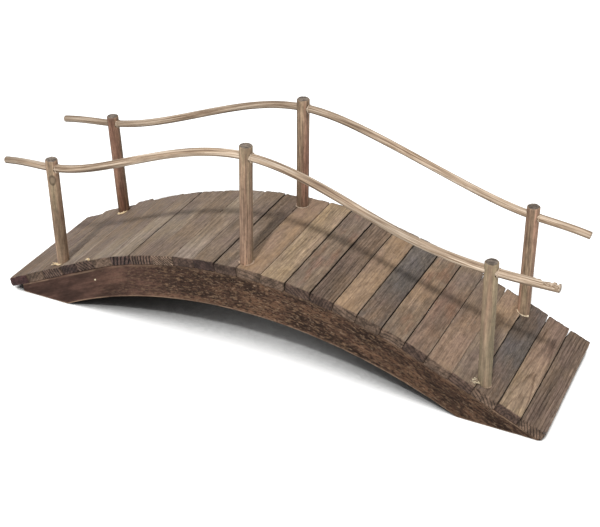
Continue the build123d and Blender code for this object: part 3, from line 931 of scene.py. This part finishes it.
def worn_board(number, width, wood, near_end, far_end, skew, sizes):
    """Rings of a board in its own frame. The section is a core rectangle plus rounding, closed to a line at
    the ends, with joints that open above half height. The ends wear down and back, the top sinks between
    the growth rings, and the corners are chipped, all by noise."""
    edge = sizes.edge_round / MM
    core, out = bar_section(*BOARD_GRID)
    close = CLOSE_RINGS / BOARD_LENGTH
    stations = np.concatenate([close, np.linspace(0.045, 0.955, 70), (1 - close)[::-1]])
    place, left, angle = bar_path(stations, *BOARD_ENDS)
    inset, back = edge * (1 - np.sin(angle)), edge * (1 - np.cos(angle))
    near_half = place < 0.5
    body = np.where(near_half, near_end + back, far_end - back)
    inner = (place > 0) & (place < 1)
    body = np.where(inner, near_end + edge + place * (far_end - near_end - 2 * edge), body)
    edges = board_edges(number, width, body, near_end, far_end, sizes)
    rounding = (edge - inset)[:, None] * out[None, :, 1]
    up = (core[None, :, 1] * (BOARD_THICKNESS / 2 - edge) + rounding) * left[:, None]
    tall = up / BOARD_THICKNESS
    opened = np.clip((tall + 0.05) / 0.35, 0, 1)
    left_edge, right_edge = (low[:, None] * (1 - opened) + high[:, None] * opened for low, high in edges)
    middle, wide = (left_edge + right_edge) / 2, right_edge - left_edge
    across = core[None, :, 0] * (wide / 2 - edge) + (edge - inset)[:, None] * out[None, :, 0]
    across = across * (1 - (1 - left)[:, None] * BOARD_THICKNESS / wide)
    across = middle + across * (1 + BOARD_THICKNESS / TOP_RADIUS * tall)
    at_end = 1 - np.abs(2 * place - 1) < 1e-6
    along = body[:, None] + across * (np.where(near_half, skew[0], skew[1]) * at_end)[:, None]

    worn_away = 0.35 * (0.5 + 0.5 * line_noise(np.array([number * 5.3]), 320, 1))
    deep = sizes.board_wear / MM
    for end, way, depth in ((near_end, 1, deep), (far_end, -1, 0.45 * deep)):
        from_end = np.clip(way * (along - end), 0, None)
        where = np.stack([across * 0.28, along * 0, along * 0 + way], axis=-1)
        uneven = np.clip(layered_noise(where, 340 + number, 2) + 0.35, 0, 1)
        worn_away = worn_away + depth * uneven * np.exp(-from_end / WEAR_FADE)
        corner_round = np.clip((np.abs(across) - width / 2 + CORNER_WIDTH) / CORNER_WIDTH, 0, 1) ** 2
        along = along + way * 0.6 * corner_round * np.exp(-from_end / CORNER_FADE)
    up = up * np.where(up > 0, 1 - worn_away / (BOARD_THICKNESS / 2), 1)

    spot = np.stack([across, along, up], axis=-1)
    soft = ring_wave(ring_phase(spot, wood, *BOARD_RINGS, 200 + number))
    fine = layered_noise(spot * [0.9, 0.06, 0.9], 400 + number, 3)
    sink = sizes.grain_depth / MM * (0.9 * soft * wood.rings + 0.35 + 0.35 * fine)
    chips = np.clip(layered_noise(spot * [0.35, 0.22, 0.35], 500 + number, 2) - 0.35, 0, 1)
    sink = sink + on_corner(out) * chips * 0.9
    on_end = (left < 1)[:, None] | ((angle < 0.01)[:, None])
    move = np.where(np.abs(out[:, 0])[None, :] > 0.9, sink * 0.4 * opened, sink)
    spot[..., [0, 2]] -= np.where(on_end, 0, move)[..., None] * out[None]
    end_depth = 0.45 * soft * wood.rings + 0.3 * half_noise(spot * [0.5, 0, 1.2], 600 + number, 3)
    spot[..., 1] += np.where(on_end, end_depth * np.where(near_half, 1.0, -1.0)[:, None], 0)
    return spot


def on_corner(out):
    """True where a section's outward direction points to neither of its faces."""
    return (np.abs(out[:, 0] * out[:, 1]) > 0.05)[None, :]


class MOONBRIDGE_OT_deck_boards(bpy.types.Operator):
    """Make the deck boards, each with its own worn edges, sawn ends and grain"""
    bl_idname = "moonbridge.deck_boards"
    bl_label = "Deck boards"

    def execute(self, context):
        sizes = context.scene.moon_bridge_sizes
        axes = post_axes()
        starts = DECK_ENDS[0] + np.concatenate([[0], np.cumsum(BOARD_WIDTHS + BOARD_GAP)[:-1]])
        for number, (start, width, wood) in enumerate(zip(starts, BOARD_WIDTHS, BOARD_LOOKS), start=1):
            near_end, far_end, skew = board_ends(number, sizes)
            spot = worn_board(number, width, wood, near_end, far_end, skew, sizes)
            # From the board's own frame to the bridge's
            middle_x, middle_z, slope = top_point(start + width / 2)
            x_way, z_way = slope_ways(slope)
            origin = np.array([middle_x, MIDDLE_Y, middle_z]) + z_way * BOARD_THICKNESS / 2
            name = f"board_{number:02d}_wood"
            mesh = rings_mesh(name, origin + spot @ np.stack([x_way, [0, 1.0, 0], z_way]))
            reach = width / 2 + BOARD_GAP / 2 + SOCKET_RADIUS
            holes = [(post["foot"], post["axis"], post["length"], SOCKET_RADIUS) for post in axes.values()
                     if abs(np.dot(post["on_deck"] - origin, x_way)) < reach]
            if holes:
                mesh = bore(mesh, holes)
            local = mesh_points(mesh) - origin
            spot = np.stack([local @ x_way, local[:, 1], local @ z_way], axis=-1)
            set_field(mesh, "place", spot)
            set_field(mesh, "rings", ring_phase(spot, wood, *BOARD_RINGS, 200 + number))
            to_side = width / 2 - np.abs(spot[:, 0])
            to_top = BOARD_THICKNESS / 2 - np.abs(spot[:, 2])
            to_end = np.minimum(spot[:, 1] - near_end, far_end - spot[:, 1])
            gaps = np.sort(np.stack([to_side, to_top, to_end], axis=1), axis=1)
            wear = np.exp(-np.clip(gaps[:, 0] + gaps[:, 1] - 0.4, 0, None) / 0.7)
            end = np.clip(1.9 - to_end / 0.8, 0, 1) * np.clip((0.5 + to_top - 0.4 * to_end) / 0.3, 0, 1)
            set_marks(mesh, wear, end)
            # Painted shade down in the open joints, deeper below the top and away from the ends
            openings = [min(OPEN_JOINTS.get(joint, 0.0), 1.0) for joint in (number - 1, number)]
            painted_joint_share = np.where(spot[:, 0] < 0, *openings) * (to_side < 0.8)
            down = np.clip((to_top - 0.3) / 0.5, 0, 1)
            set_field(mesh, "shade", painted_joint_share * down * np.clip(to_end - 0.4, 0, 1))
            finish = wood_finish(name, wood, number * 1.37, "pale_grey", *END_LOOKS[number - 1], BOARD_BANDS)
            add_piece(name, mesh, finish, [f"deck_board_{number:02d}"])
        return {"FINISHED"}


def stringer_path():
    """Rings along the stringers: each ring's X, its top and its bottom, the share of the end face that it
    spans and its angle in the end's rounding. The bottom is the soffit's arc over the span and the floor
    past it."""
    left_x = top_point(DECK_ENDS[0] + LEFT_OVERHANG)[0]
    right_x = top_point(DECK_ENDS[1] - RIGHT_OVERHANG)[0]
    half_span = math.sqrt(SOFFIT_RADIUS**2 - (SOFFIT_RADIUS - SOFFIT_HEIGHT) ** 2)
    kinks = np.array([left_x + STRINGER_EDGE, CROWN_X - half_span, CROWN_X + half_span,
                      right_x - STRINGER_EDGE])
    stations = np.unique(np.concatenate([np.linspace(kinks[0], kinks[-1], 420), kinks]))
    place, left, angle = bar_path((stations - kinks[0]) / (kinks[-1] - kinks[0]), *STRINGER_ENDS)
    back = STRINGER_EDGE * (1 - np.cos(angle))
    x = np.where(place < 0.5, left_x + back, right_x - back)
    first = sum(STRINGER_ENDS)
    x[first:first + len(stations)] = stations
    arc = SOFFIT_HEIGHT - (SOFFIT_RADIUS - np.sqrt(np.clip(SOFFIT_RADIUS**2 - (x - CROWN_X) ** 2, 0, None)))
    bottom = np.where(np.abs(x - CROWN_X) < half_span, np.clip(arc, 0, None), 0)
    return x, stringer_top(x), bottom, left, angle


def stringer_top(x):
    """Height of the stringer top at X, read off its line."""
    top_x, top_z, _ = top_point(np.linspace(DECK_ENDS[0], DECK_ENDS[1], 3000))
    return np.interp(x, top_x, top_z)


def torn_stringer(x, top, bottom, left, angle, rough, seed):
    """Rings of a stringer about its middle plane: a rounded rectangle between the bottom and the top,
    closed to a line at the ends, whose faces sink by noise drawn out along the arch and whose corners are
    chipped."""
    core, out = bar_section(*STRINGER_GRID)
    tall = top - bottom
    half_core = np.stack([tall / 2, np.full_like(tall, STRINGER_THICKNESS / 2)], axis=1) - STRINGER_EDGE
    half_core = np.clip(half_core, 0.05, None)
    section = core[None] * half_core[:, None, :] + (STRINGER_EDGE * np.sin(angle))[:, None, None] * out[None]
    # The section's long way is upright: first its height, then its thickness
    narrow = np.minimum(tall, STRINGER_THICKNESS)
    closed = (1 - left)[:, None]
    upright = section[..., 0] * (1 - closed * (narrow / tall)[:, None])
    through = section[..., 1] * (1 - closed * (narrow / STRINGER_THICKNESS)[:, None])
    height = (top + bottom)[:, None] / 2 + upright
    along = np.broadcast_to(x[:, None], height.shape)
    spot = np.stack([along, through, top[:, None] - height], axis=-1)
    torn = layered_noise(spot * [0.22, 0.6, 0.6], seed, 3)
    wave = lattice_noise(spot * [0.03, 0.08, 0.08], seed + 5)
    fade = np.clip((along + 190) / 70, 0.2, 1)
    sink = rough * (0.55 + 0.4 * torn * fade + 0.3 * wave)
    chips = np.clip(layered_noise(spot * [0.12, 0.3, 0.3], seed + 9, 2) - 0.45, 0, 1) * 1.2
    sink = np.where(np.abs(out[:, 1])[None, :] > 0.9, sink, 0.3 * sink) + on_corner(out) * chips
    sink = np.where((left >= 1)[:, None] & (angle > 0.01)[:, None], sink, 0)
    through = through - sink * out[None, :, 1]
    height = height - sink * out[None, :, 0] * np.where(bottom > 0.5, 1, 0.0)[:, None]
    return np.stack([along, through, np.clip(height, 0, None)], axis=-1)


class MOONBRIDGE_OT_stringers(bpy.types.Operator):
    """Make the two arched stringers with their torn, scuffed faces and post sockets"""
    bl_idname = "moonbridge.stringers"
    bl_label = "Stringers"

    def execute(self, context):
        rough = context.scene.moon_bridge_sizes.stringer_roughness / MM
        path_x, top, bottom, left, angle = stringer_path()
        for side, seed in (("near", 700), ("far", 740)):
            name = f"{side}_stringer_wood"
            middle = np.array([0, SIDE_Y[side], 0])
            mesh = rings_mesh(name, middle + torn_stringer(path_x, top, bottom, left, angle, rough, seed))
            holes = [(post["foot"], post["axis"], post["length"], SOCKET_RADIUS)
                     for post in post_axes().values() if post["side"] == side]
            mesh = bore(mesh, holes)
            x, through, z = (mesh_points(mesh) - middle).T
            depth = stringer_top(x) - z
            lift = z - np.interp(x, path_x, bottom)
            set_field(mesh, "place", np.stack([x, through, depth], axis=1))
            # Pale lines a little below the top edge and just above the arch's edge: worn fibres and a painted
            # highlight
            to_face = STRINGER_THICKNESS / 2 - np.abs(through)
            to_line = np.minimum(np.abs(depth - 0.9), np.abs(lift - 0.3))
            from_edge = to_line + np.clip(to_face - rough, 0, None)
            set_marks(mesh, np.exp(-np.clip(from_edge - 0.2, 0, None) / 0.25))
            add_piece(name, mesh, stringer_finish(name, seed * 0.01), [f"{side}_stringer"])
        return {"FINISHED"}


# Posts, with their tones from the foot to the top
POST_PITH = (2.5, -5.0), (-0.03, 0.0)
POST_LOOKS = {
    "near_left": Wood(("post_warm", "post_brown", "post_tan"), *POST_PITH, 2.4, 0.4, 0.6, 0.5, None),
    "near_middle": Wood(("post_tan", "post_grey", "post_tan"), *POST_PITH, 2.2, 0.45, 0.7, 0.4, None),
    "near_right": Wood(("post_grey", "post_grey", "post_tan"), *POST_PITH, 2.8, 0.2, 0.4, 0.3, None),
    "far_left": Wood(("post_red", "post_brown", "post_brown"), *POST_PITH, 2.4, 0.4, 0.8, 0.4, None),
    "far_middle": Wood(("post_brown", "post_brown", "post_warm"), *POST_PITH, 2.0, 0.6, 0.9, 0.5, None),
    "far_right": Wood(("post_tan", "post_tan", "post_warm"), *POST_PITH, 2.4, 0.4, 0.8, 0.4, None),
}
# Knots: height over the deck in mm, bearing in degrees from +X towards +Y, half height and half width in mm
KNOTS = {"near_left": (71.0, -62, 4.4, 2.9)}
# Rounding of the posts' tops, and length to which the posts' grain is scaled, in mm
POST_TOP_ROUND = 0.8
POST_GRAIN_LENGTH = 100
BORE_LENGTH = 18.0


def worn_post(length, rough, number):
    """Rings of a post as places across, along and across again: a circle carried along the axis, rounded
    over the top and closed at both ends, which shrinks by noise drawn out along the grain."""
    turn = np.linspace(0, math.pi / 2, 5)
    top_cap = np.linspace(1, 0, 9)[1:]
    shoulder = length - POST_TOP_ROUND
    body = np.linspace(0.5, shoulder, 110)
    distances = np.concatenate([np.zeros(5), body, shoulder + POST_TOP_ROUND * np.sin(turn[1:]),
                                np.full(len(top_cap), length)])
    radii = np.concatenate([np.linspace(0, POST_RADIUS - 0.5, 5), np.full(len(body), POST_RADIUS),
                            POST_RADIUS - POST_TOP_ROUND * (1 - np.cos(turn[1:])),
                            (POST_RADIUS - POST_TOP_ROUND) * top_cap])
    circle = circle_points(56)
    flat = radii[:, None, None] * circle[None]
    along = np.broadcast_to(distances[:, None], flat.shape[:2])
    spot = np.stack([flat[..., 0], along, flat[..., 1]], axis=-1)
    slow = layered_noise(spot * [0.12, 0.035, 0.12], 800 + number, 2)
    fine = layered_noise(spot * [0.9, 0.07, 0.9], 830 + number, 2)
    shrink = rough * (0.75 + 0.75 * slow + 0.35 * fine) * (radii / POST_RADIUS)[:, None]
    top_rough = 0.35 * half_noise(spot * [0.6, 0, 0.6], 860 + number)
    flat = flat - shrink[..., None] * circle[None]
    return np.stack([flat[..., 0], along - np.where(along > shoulder, top_rough, 0), flat[..., 1]], axis=-1)


def knot_mark(key, spot, length):
    """Mark of a post's knot: 1 at its heart and 0 past its rim, an ellipse on the post's face."""
    if key not in KNOTS:
        return 0.0
    height, bearing, tall, wide = KNOTS[key]
    turned = np.arctan2(spot[:, 2], spot[:, 0]) - math.radians(bearing)
    around = POST_RADIUS * np.arctan2(np.sin(turned), np.cos(turned))
    along = spot[:, 1] + length / 2 - BOARD_THICKNESS - SOCKET_DEPTH - height
    return np.clip(1.25 - np.hypot(along / tall, around / wide), 0, 1)


class MOONBRIDGE_OT_posts(bpy.types.Operator):
    """Make the six dowel posts, slightly uneven, with softened tops and a bore for the rail"""
    bl_idname = "moonbridge.posts"
    bl_label = "Posts"

    def execute(self, context):
        rough = context.scene.moon_bridge_sizes.post_roughness / MM
        axes = post_axes()
        for number, (key, post) in enumerate(axes.items()):
            length, wood = post["length"], POST_LOOKS[key]
            ways = np.array([[post["axis"][2], 0, -post["axis"][0]], post["axis"], [0, 1.0, 0]])
            name = f"{key}_post_wood"
            mesh = rings_mesh(name, post["foot"] + worn_post(length, rough, number) @ ways)
            way = rail_way(post, axes, 1)
            radius = RAIL_RADII[post["side"]] + RAIL_BORE_CLEARANCE
            mesh = bore(mesh, [(post["crossing"] - way * BORE_LENGTH / 2, way, BORE_LENGTH, radius)])
            spot = (mesh_points(mesh) - post["foot"]) @ ways.T - [0, length / 2, 0]
            set_field(mesh, "place", spot * [1, POST_GRAIN_LENGTH / length, 1])
            set_field(mesh, "rings", ring_phase(spot, wood, *POST_RINGS, 900 + number))
            from_axis = np.hypot(spot[:, 0], spot[:, 2])
            to_top = length / 2 - spot[:, 1]
            rim = np.clip(to_top, 0, None) + (POST_RADIUS - from_axis)
            wear = np.exp(-np.clip(rim - 0.7, 0, None) / 0.6)
            end = np.clip(1.6 - to_top / 0.5, 0, 1) * np.clip((POST_RADIUS - 0.5 - from_axis) / 0.4, 0, 1)
            set_marks(mesh, wear, end, knot_mark(key, spot, length))
            finish = wood_finish(name, wood, 50 + number * 2.1, "post_grey", "post_end", 0.3, POST_BANDS)
            add_piece(name, mesh, finish, [f"{key}_post"])
        return {"FINISHED"}


# Rounding of the rails' cut ends, and lengths of the near rail that is thinner at its left end and frayed
# at its right end, in mm
RAIL_END_ROUND = 0.6
THIN_LENGTH = 45.0
FRAYED_LENGTH = 17


def worn_rail(side, rail_radius, distances, radii, total, groove, seed):
    """Rings of a rail as places across and up from its curve: a circle that shrinks in grooves between the
    fibres, by noise drawn out along the rail. The near rail is thinner at its left end, and its right end
    is frayed, with teeth in the upper side."""
    circle = circle_points(44)
    spot = np.stack(np.broadcast_arrays(rail_radius * circle[None, :, 0], distances[:, None],
                                        rail_radius * circle[None, :, 1]), axis=-1)
    fibres = layered_noise(spot * [1.1, 0.02, 1.1], seed, 3)
    slow = layered_noise(spot * [0.12, 0.03, 0.12], seed + 6, 2)
    shrink = groove * (0.9 + 0.9 * fibres) + 0.07 * (1 + slow)
    if side == "near":
        shrink = shrink + 0.25 * np.clip(1 - distances / THIN_LENGTH, 0, 1)[:, None]
        fray = np.clip((distances - (total - FRAYED_LENGTH)) / 6, 0, 1)[:, None]
        teeth = np.clip(1.6 * lattice_noise(spot * [0.5, 0.55, 0.5], seed + 20) + 0.35, 0, 1)
        shrink = shrink + fray * np.clip(circle[None, :, 1] * 1.6, 0, 1) * teeth * 1.5
    reach = (radii / rail_radius)[:, None] * (rail_radius - np.clip(shrink, 0, 1.9))
    return reach[..., None] * circle[None]


class MOONBRIDGE_OT_rails(bpy.types.Operator):
    """Make the two bent cane rails with their fibres and cut ends"""
    bl_idname = "moonbridge.rails"
    bl_label = "Rails"

    def execute(self, context):
        groove = context.scene.moon_bridge_sizes.fibre_depth / MM
        axes = post_axes()
        for side, seed in (("near", 1000), ("far", 1040)):
            rail_radius = RAIL_RADII[side]
            points = rail_points(side, axes)
            total = smooth_curve(points, np.array([0.0, 1.0]))[1]
            turn = np.linspace(0, math.pi / 2, 4)[:-1]
            cap = np.linspace(0, 1, 6)[:-1]
            near_end = RAIL_END_ROUND * (1 - np.cos(turn))
            dense_from = total - 16
            middle = np.concatenate([np.linspace(RAIL_END_ROUND, dense_from, 360),
                                     np.linspace(dense_from, total - RAIL_END_ROUND, 60)[1:]])
            distances = np.concatenate([np.zeros(5), near_end, middle, (total - near_end)[::-1],
                                        np.full(5, total)])
            edge = rail_radius - RAIL_END_ROUND * (1 - np.sin(turn))
            end_radii = np.concatenate([edge[0] * cap, edge])
            radii = np.concatenate([end_radii, np.full(len(middle), rail_radius), end_radii[::-1]])
            centre = smooth_curve(points, distances / total)[0]
            ahead, behind = (smooth_curve(points, np.clip(distances / total + step, 0, 1))[0]
                             for step in (0.002, -0.002))
            way = ahead - behind
            way /= np.linalg.norm(way, axis=1, keepdims=True)
            upward = np.stack([-way[:, 2], 0 * way[:, 0], way[:, 0]], axis=1)
            flat = worn_rail(side, rail_radius, distances, radii, total, groove, seed)
            rings = centre[:, None] + flat[..., :1] * [0, -1.0, 0] + flat[..., 1:] * upward[:, None]
            name = f"{side}_rail_cane"
            mesh = rings_mesh(name, rings)
            x, y, z = mesh_points(mesh).T
            order = np.argsort(centre[:, 0], kind="stable")
            length_at = np.interp(x, centre[order, 0], distances[order])
            level = np.interp(x, centre[order, 0], centre[order, 2])
            set_field(mesh, "place", np.stack([y - SIDE_Y[side], length_at, z - level], axis=1))
            to_end = np.minimum(length_at, total - length_at)
            set_marks(mesh, end=np.clip(1 - to_end / 0.5, 0, 1))
            add_piece(name, mesh, cane_finish(name, seed * 0.013), [f"{side}_rail"])
        return {"FINISHED"}


# Glue round the posts' feet: start and end of the bead in degrees, turned from +X towards +Y, its thickness
# as a share of the panel's, and its colours
FOOT_BEADS = {
    "near_left": (((165, 290, 1.2), (200, 262, 2.2)), ("glue_pale", "glue_amber")),
    "near_middle": (((-80, 60, 1.2), (185, 235, 1.5)), ("cane_tan", "post_warm")),
    "near_right": (((-80, 70, 1.0), (190, 240, 1.1)), ("post_tan", "post_brown")),
    "far_left": (((195, 345, 1.5), (215, 255, 2.2), (285, 325, 2.4)), ("glue_pale", "glue_amber")),
    "far_middle": (((150, 390, 1.2),), ("cane_tan", "pale_grey")),
    "far_right": (((200, 340, 0.9), (300, 345, 2.2)), ("glue_pale", "cane_tan")),
}
# Slivers of glue and torn wood: the post they belong to or their X and Y in mm, the way they fan out, how
# many there are, their length and width in mm, and their colours. They start a little under the deck's
# surface
SLIVERS = {
    "near_left_foot": ("near_left", (-0.9, -0.45, 0.0), 9, 6.5, 1.5, ("glue_pale", "glue_amber")),
    "near_right_foot": ("near_right", (-0.8, -0.6, 0.5), 7, 7.5, 2.2, ("glue_pale", "dark_brown")),
    "near_edge": ((-128.4, -49.9), (-0.3, -0.5, 0.5), 8, 3.4, 1.8, ("glue_pale", "glue_amber")),
    "near_corner": ((206.2, -51.1), (0.35, -0.2, 1.0), 6, 4.2, 1.5, ("end_black", "end_brown")),
}
# How far the slivers start under the deck's surface and stay inside the part's box, in mm
SLIVER_ROOT = 0.35
BOX_INSET = 0.2
COLLAR_TONES = ("cane_pale", "cane_tan")


def bead_rings(centre, normal, across, radius, span, thickness, seed):
    """Bead along an arc: a round section whose size swells and fades by noise and closes at both ends. The
    arc lies about a centre, square to a normal, and starts from the across way."""
    start, end = np.radians(span)
    share = np.linspace(0, 1, 60)
    turn = start + (end - start) * share
    other = np.cross(normal, across)
    lump = 0.62 + 0.5 * line_noise(share * abs(end - start) * 3.0, seed, 3)
    size = thickness * np.clip(lump, 0.12, None) * np.sqrt(np.clip(np.sin(share * math.pi), 0, 1)) ** 0.8
    outward = np.cos(turn)[:, None] * across + np.sin(turn)[:, None] * other
    section = size[:, None, None] * circle_points(14)[None] * [1.0, 0.8]
    return centre + outward[:, None] * (radius + section[..., :1]) + normal * section[..., 1:]


def splinter_rings(start, way, bow, length, width, seed):
    """Torn sliver: a flat oval section that tapers to a point along a line bowed sideways by half a
    sine."""
    share = np.linspace(0, 1, 12)
    way = way / np.linalg.norm(way)
    centre = start + way * (length * share)[:, None] + bow * np.sin(share * math.pi)[:, None]
    across = np.cross(way, [0.31, 0.2, 0.93])
    across /= np.linalg.norm(across)
    other = np.cross(way, across)
    size = width / 2 * np.clip(np.minimum(share * 6, 1) * (1 - share) ** 0.7, 0, None)
    size = size * (1 + 0.3 * line_noise(share * 6, seed))
    section = circle_points(8) * [1, 0.45] @ np.stack([across, other])
    return centre[:, None] + size[:, None, None] * section[None]


def add_glue(name, groups, tones, seed):
    """Adds a piece of glue or torn fibres that is made of several ring skins."""
    mesh = join_rings(name, groups)
    set_field(mesh, "place", mesh_points(mesh))
    add_piece(name, mesh, glue_finish(name, *tones, seed))


class MOONBRIDGE_OT_glue(bpy.types.Operator):
    """Make the dried glue and torn fibres round the posts' feet and the rails' bores"""
    bl_idname = "moonbridge.glue"
    bl_label = "Glue"

    def execute(self, context):
        bead = context.scene.moon_bridge_sizes.glue_bead / MM
        axes = post_axes()
        for number, (key, post) in enumerate(axes.items()):
            across, normal = slope_ways(post["slope"])
            beads, tones = FOOT_BEADS[key]
            groups = []
            for part, (start, end, share) in enumerate(beads):
                groups.append(bead_rings(post["on_deck"], normal, across, POST_RADIUS + 0.15, (start, end),
                                         bead * share, 1200 + 10 * number + part))
            add_glue(f"{key}_foot_glue", groups, tones, number * 1.9)
            # Collar of glue where the rail leaves the post on the right
            way = rail_way(post, axes, 4)
            centre = post["crossing"] + way * (POST_RADIUS + 0.1)
            upward = np.array([-way[2], 0, way[0]])
            radius = RAIL_RADII[post["side"]] + 0.1
            collar = bead_rings(centre, way, upward, radius, (0, 359), 0.7, 1400 + number)
            add_glue(f"{key}_bore_glue", [collar], COLLAR_TONES, 20 + number * 1.3)
        random = np.random.default_rng(1500)
        low, high = np.array(cad_low) / MM + BOX_INSET, np.array(cad_high) / MM - BOX_INSET
        for number, (name, (place, way, count, length, width, tones)) in enumerate(SLIVERS.items()):
            way = np.array(way) / np.linalg.norm(way)
            spread = 0.4
            if place in axes:
                place = (axes[place]["on_deck"] + way * (POST_RADIUS - 0.3))[:2]
                spread = 1
            groups = []
            for part in range(count):
                fan = way + random.uniform(-0.55, 0.55, 3) * [1, 1, 0.5]
                x, y = place + random.uniform(-1.6, 1.6, 3)[:2] * spread
                start = np.array([x, y, deck_point(x)[0] - SLIVER_ROOT])
                rings = splinter_rings(start, fan, np.array([0, 0, 0.5]), length * random.uniform(0.5, 1),
                                       width * random.uniform(0.6, 1), 1300 + 20 * number + part)
                groups.append(np.clip(rings, low, high))
            add_glue(f"{name}_slivers", groups, tones, 40 + number * 1.7)
        return {"FINISHED"}


def falling(azimuth, elevation):
    """Unit direction that points down by an elevation, turned from +Y to -X by an azimuth."""
    return Vector((-math.sin(azimuth) * math.cos(elevation), math.cos(azimuth) * math.cos(elevation),
                   -math.sin(elevation)))


class MOONBRIDGE_OT_stage(bpy.types.Operator):
    """Make the camera, the key light, the light from all round and the floor"""
    bl_idname = "moonbridge.stage"
    bl_label = "Stage"

    def execute(self, context):
        scene = context.scene
        stage = scene.moon_bridge_stage
        scene.view_settings.view_transform = "Standard"
        camera_data = bpy.data.cameras.new("photo_camera")
        camera_data.sensor_fit = "HORIZONTAL"
        camera_data.sensor_width = 36.0
        camera_data.lens = stage.lens
        camera_data.shift_x, camera_data.shift_y = stage.shift
        camera = link("photo_camera", camera_data)
        forward = falling(stage.azimuth, stage.elevation)
        level = forward.cross(Vector((0, 0, 1))).normalized()
        down = forward.cross(level)
        right = math.cos(stage.roll) * level + math.sin(stage.roll) * down
        under = -math.sin(stage.roll) * level + math.cos(stage.roll) * down
        turned = Matrix((right, -under, -forward)).transposed().to_4x4()
        camera.matrix_world = Matrix.Translation(Vector(stage.location)) @ turned
        scene.camera = camera

        key_data = bpy.data.lights.new("key_light", "SUN")
        key_data.energy = stage.key_strength
        key_data.angle = stage.key_softness
        key = link("key_light", key_data)
        falls = falling(stage.key_azimuth, stage.key_elevation)
        key.rotation_euler = falls.to_track_quat("-Z", "Y").to_euler()

        n = Nodes(bpy.data.worlds.new("studio"))
        strength = n.span(n.shows(), 0.0, 1.0, stage.fill_strength, 1.0)
        background = n.add("ShaderNodeBackground", {"Strength": strength})
        background.inputs["Color"].default_value = (1.0, 1.0, 1.0, 1.0)
        scene.world = n.close(background.outputs[0], "ShaderNodeOutputWorld")

        reach = 6.0
        floor_mesh = bpy.data.meshes.new("floor")
        corners = [(-reach, -reach, 0), (reach, -reach, 0), (reach, reach, 0), (-reach, reach, 0)]
        floor_mesh.from_pydata(corners, [], [(0, 1, 2, 3)])
        floor_mesh.materials.append(floor_finish())
        floor = link("floor", floor_mesh)
        return {"FINISHED"}


class MOONBRIDGE_PT_panel(bpy.types.Panel):
    """Sizes, colours and the operators that make the bridge"""
    bl_label = "Moon Bridge"
    bl_idname = "MOONBRIDGE_PT_panel"
    bl_space_type = "VIEW_3D"
    bl_region_type = "UI"
    bl_category = "Moon Bridge"

    def draw(self, context):
        layout = self.layout
        for operator in OPERATORS:
            layout.operator(operator.bl_idname)
        for group in ("moon_bridge_sizes", "moon_bridge_colours", "moon_bridge_stage"):
            values = getattr(context.scene, group)
            box = layout.box()
            for name in values.__annotations__:
                box.prop(values, name)


OPERATORS = (MOONBRIDGE_OT_stage, MOONBRIDGE_OT_deck_boards, MOONBRIDGE_OT_stringers, MOONBRIDGE_OT_posts,
             MOONBRIDGE_OT_rails, MOONBRIDGE_OT_glue)
CLASSES = (MoonBridgeSizes, MoonBridgeColours, MoonBridgeStage, *OPERATORS, MOONBRIDGE_PT_panel)


def register():
    for cls in CLASSES:
        bpy.utils.register_class(cls)
    bpy.types.Scene.moon_bridge_sizes = PointerProperty(type=MoonBridgeSizes)
    bpy.types.Scene.moon_bridge_colours = PointerProperty(type=MoonBridgeColours)
    bpy.types.Scene.moon_bridge_stage = PointerProperty(type=MoonBridgeStage)


def unregister():
    del bpy.types.Scene.moon_bridge_stage
    del bpy.types.Scene.moon_bridge_colours
    del bpy.types.Scene.moon_bridge_sizes
    for cls in reversed(CLASSES):
        bpy.utils.unregister_class(cls)


def main():
    register()
    bpy.ops.moonbridge.stage()
    bpy.ops.moonbridge.deck_boards()
    bpy.ops.moonbridge.stringers()
    bpy.ops.moonbridge.posts()
    bpy.ops.moonbridge.rails()
    bpy.ops.moonbridge.glue()


if __name__ == "__main__":
    main()
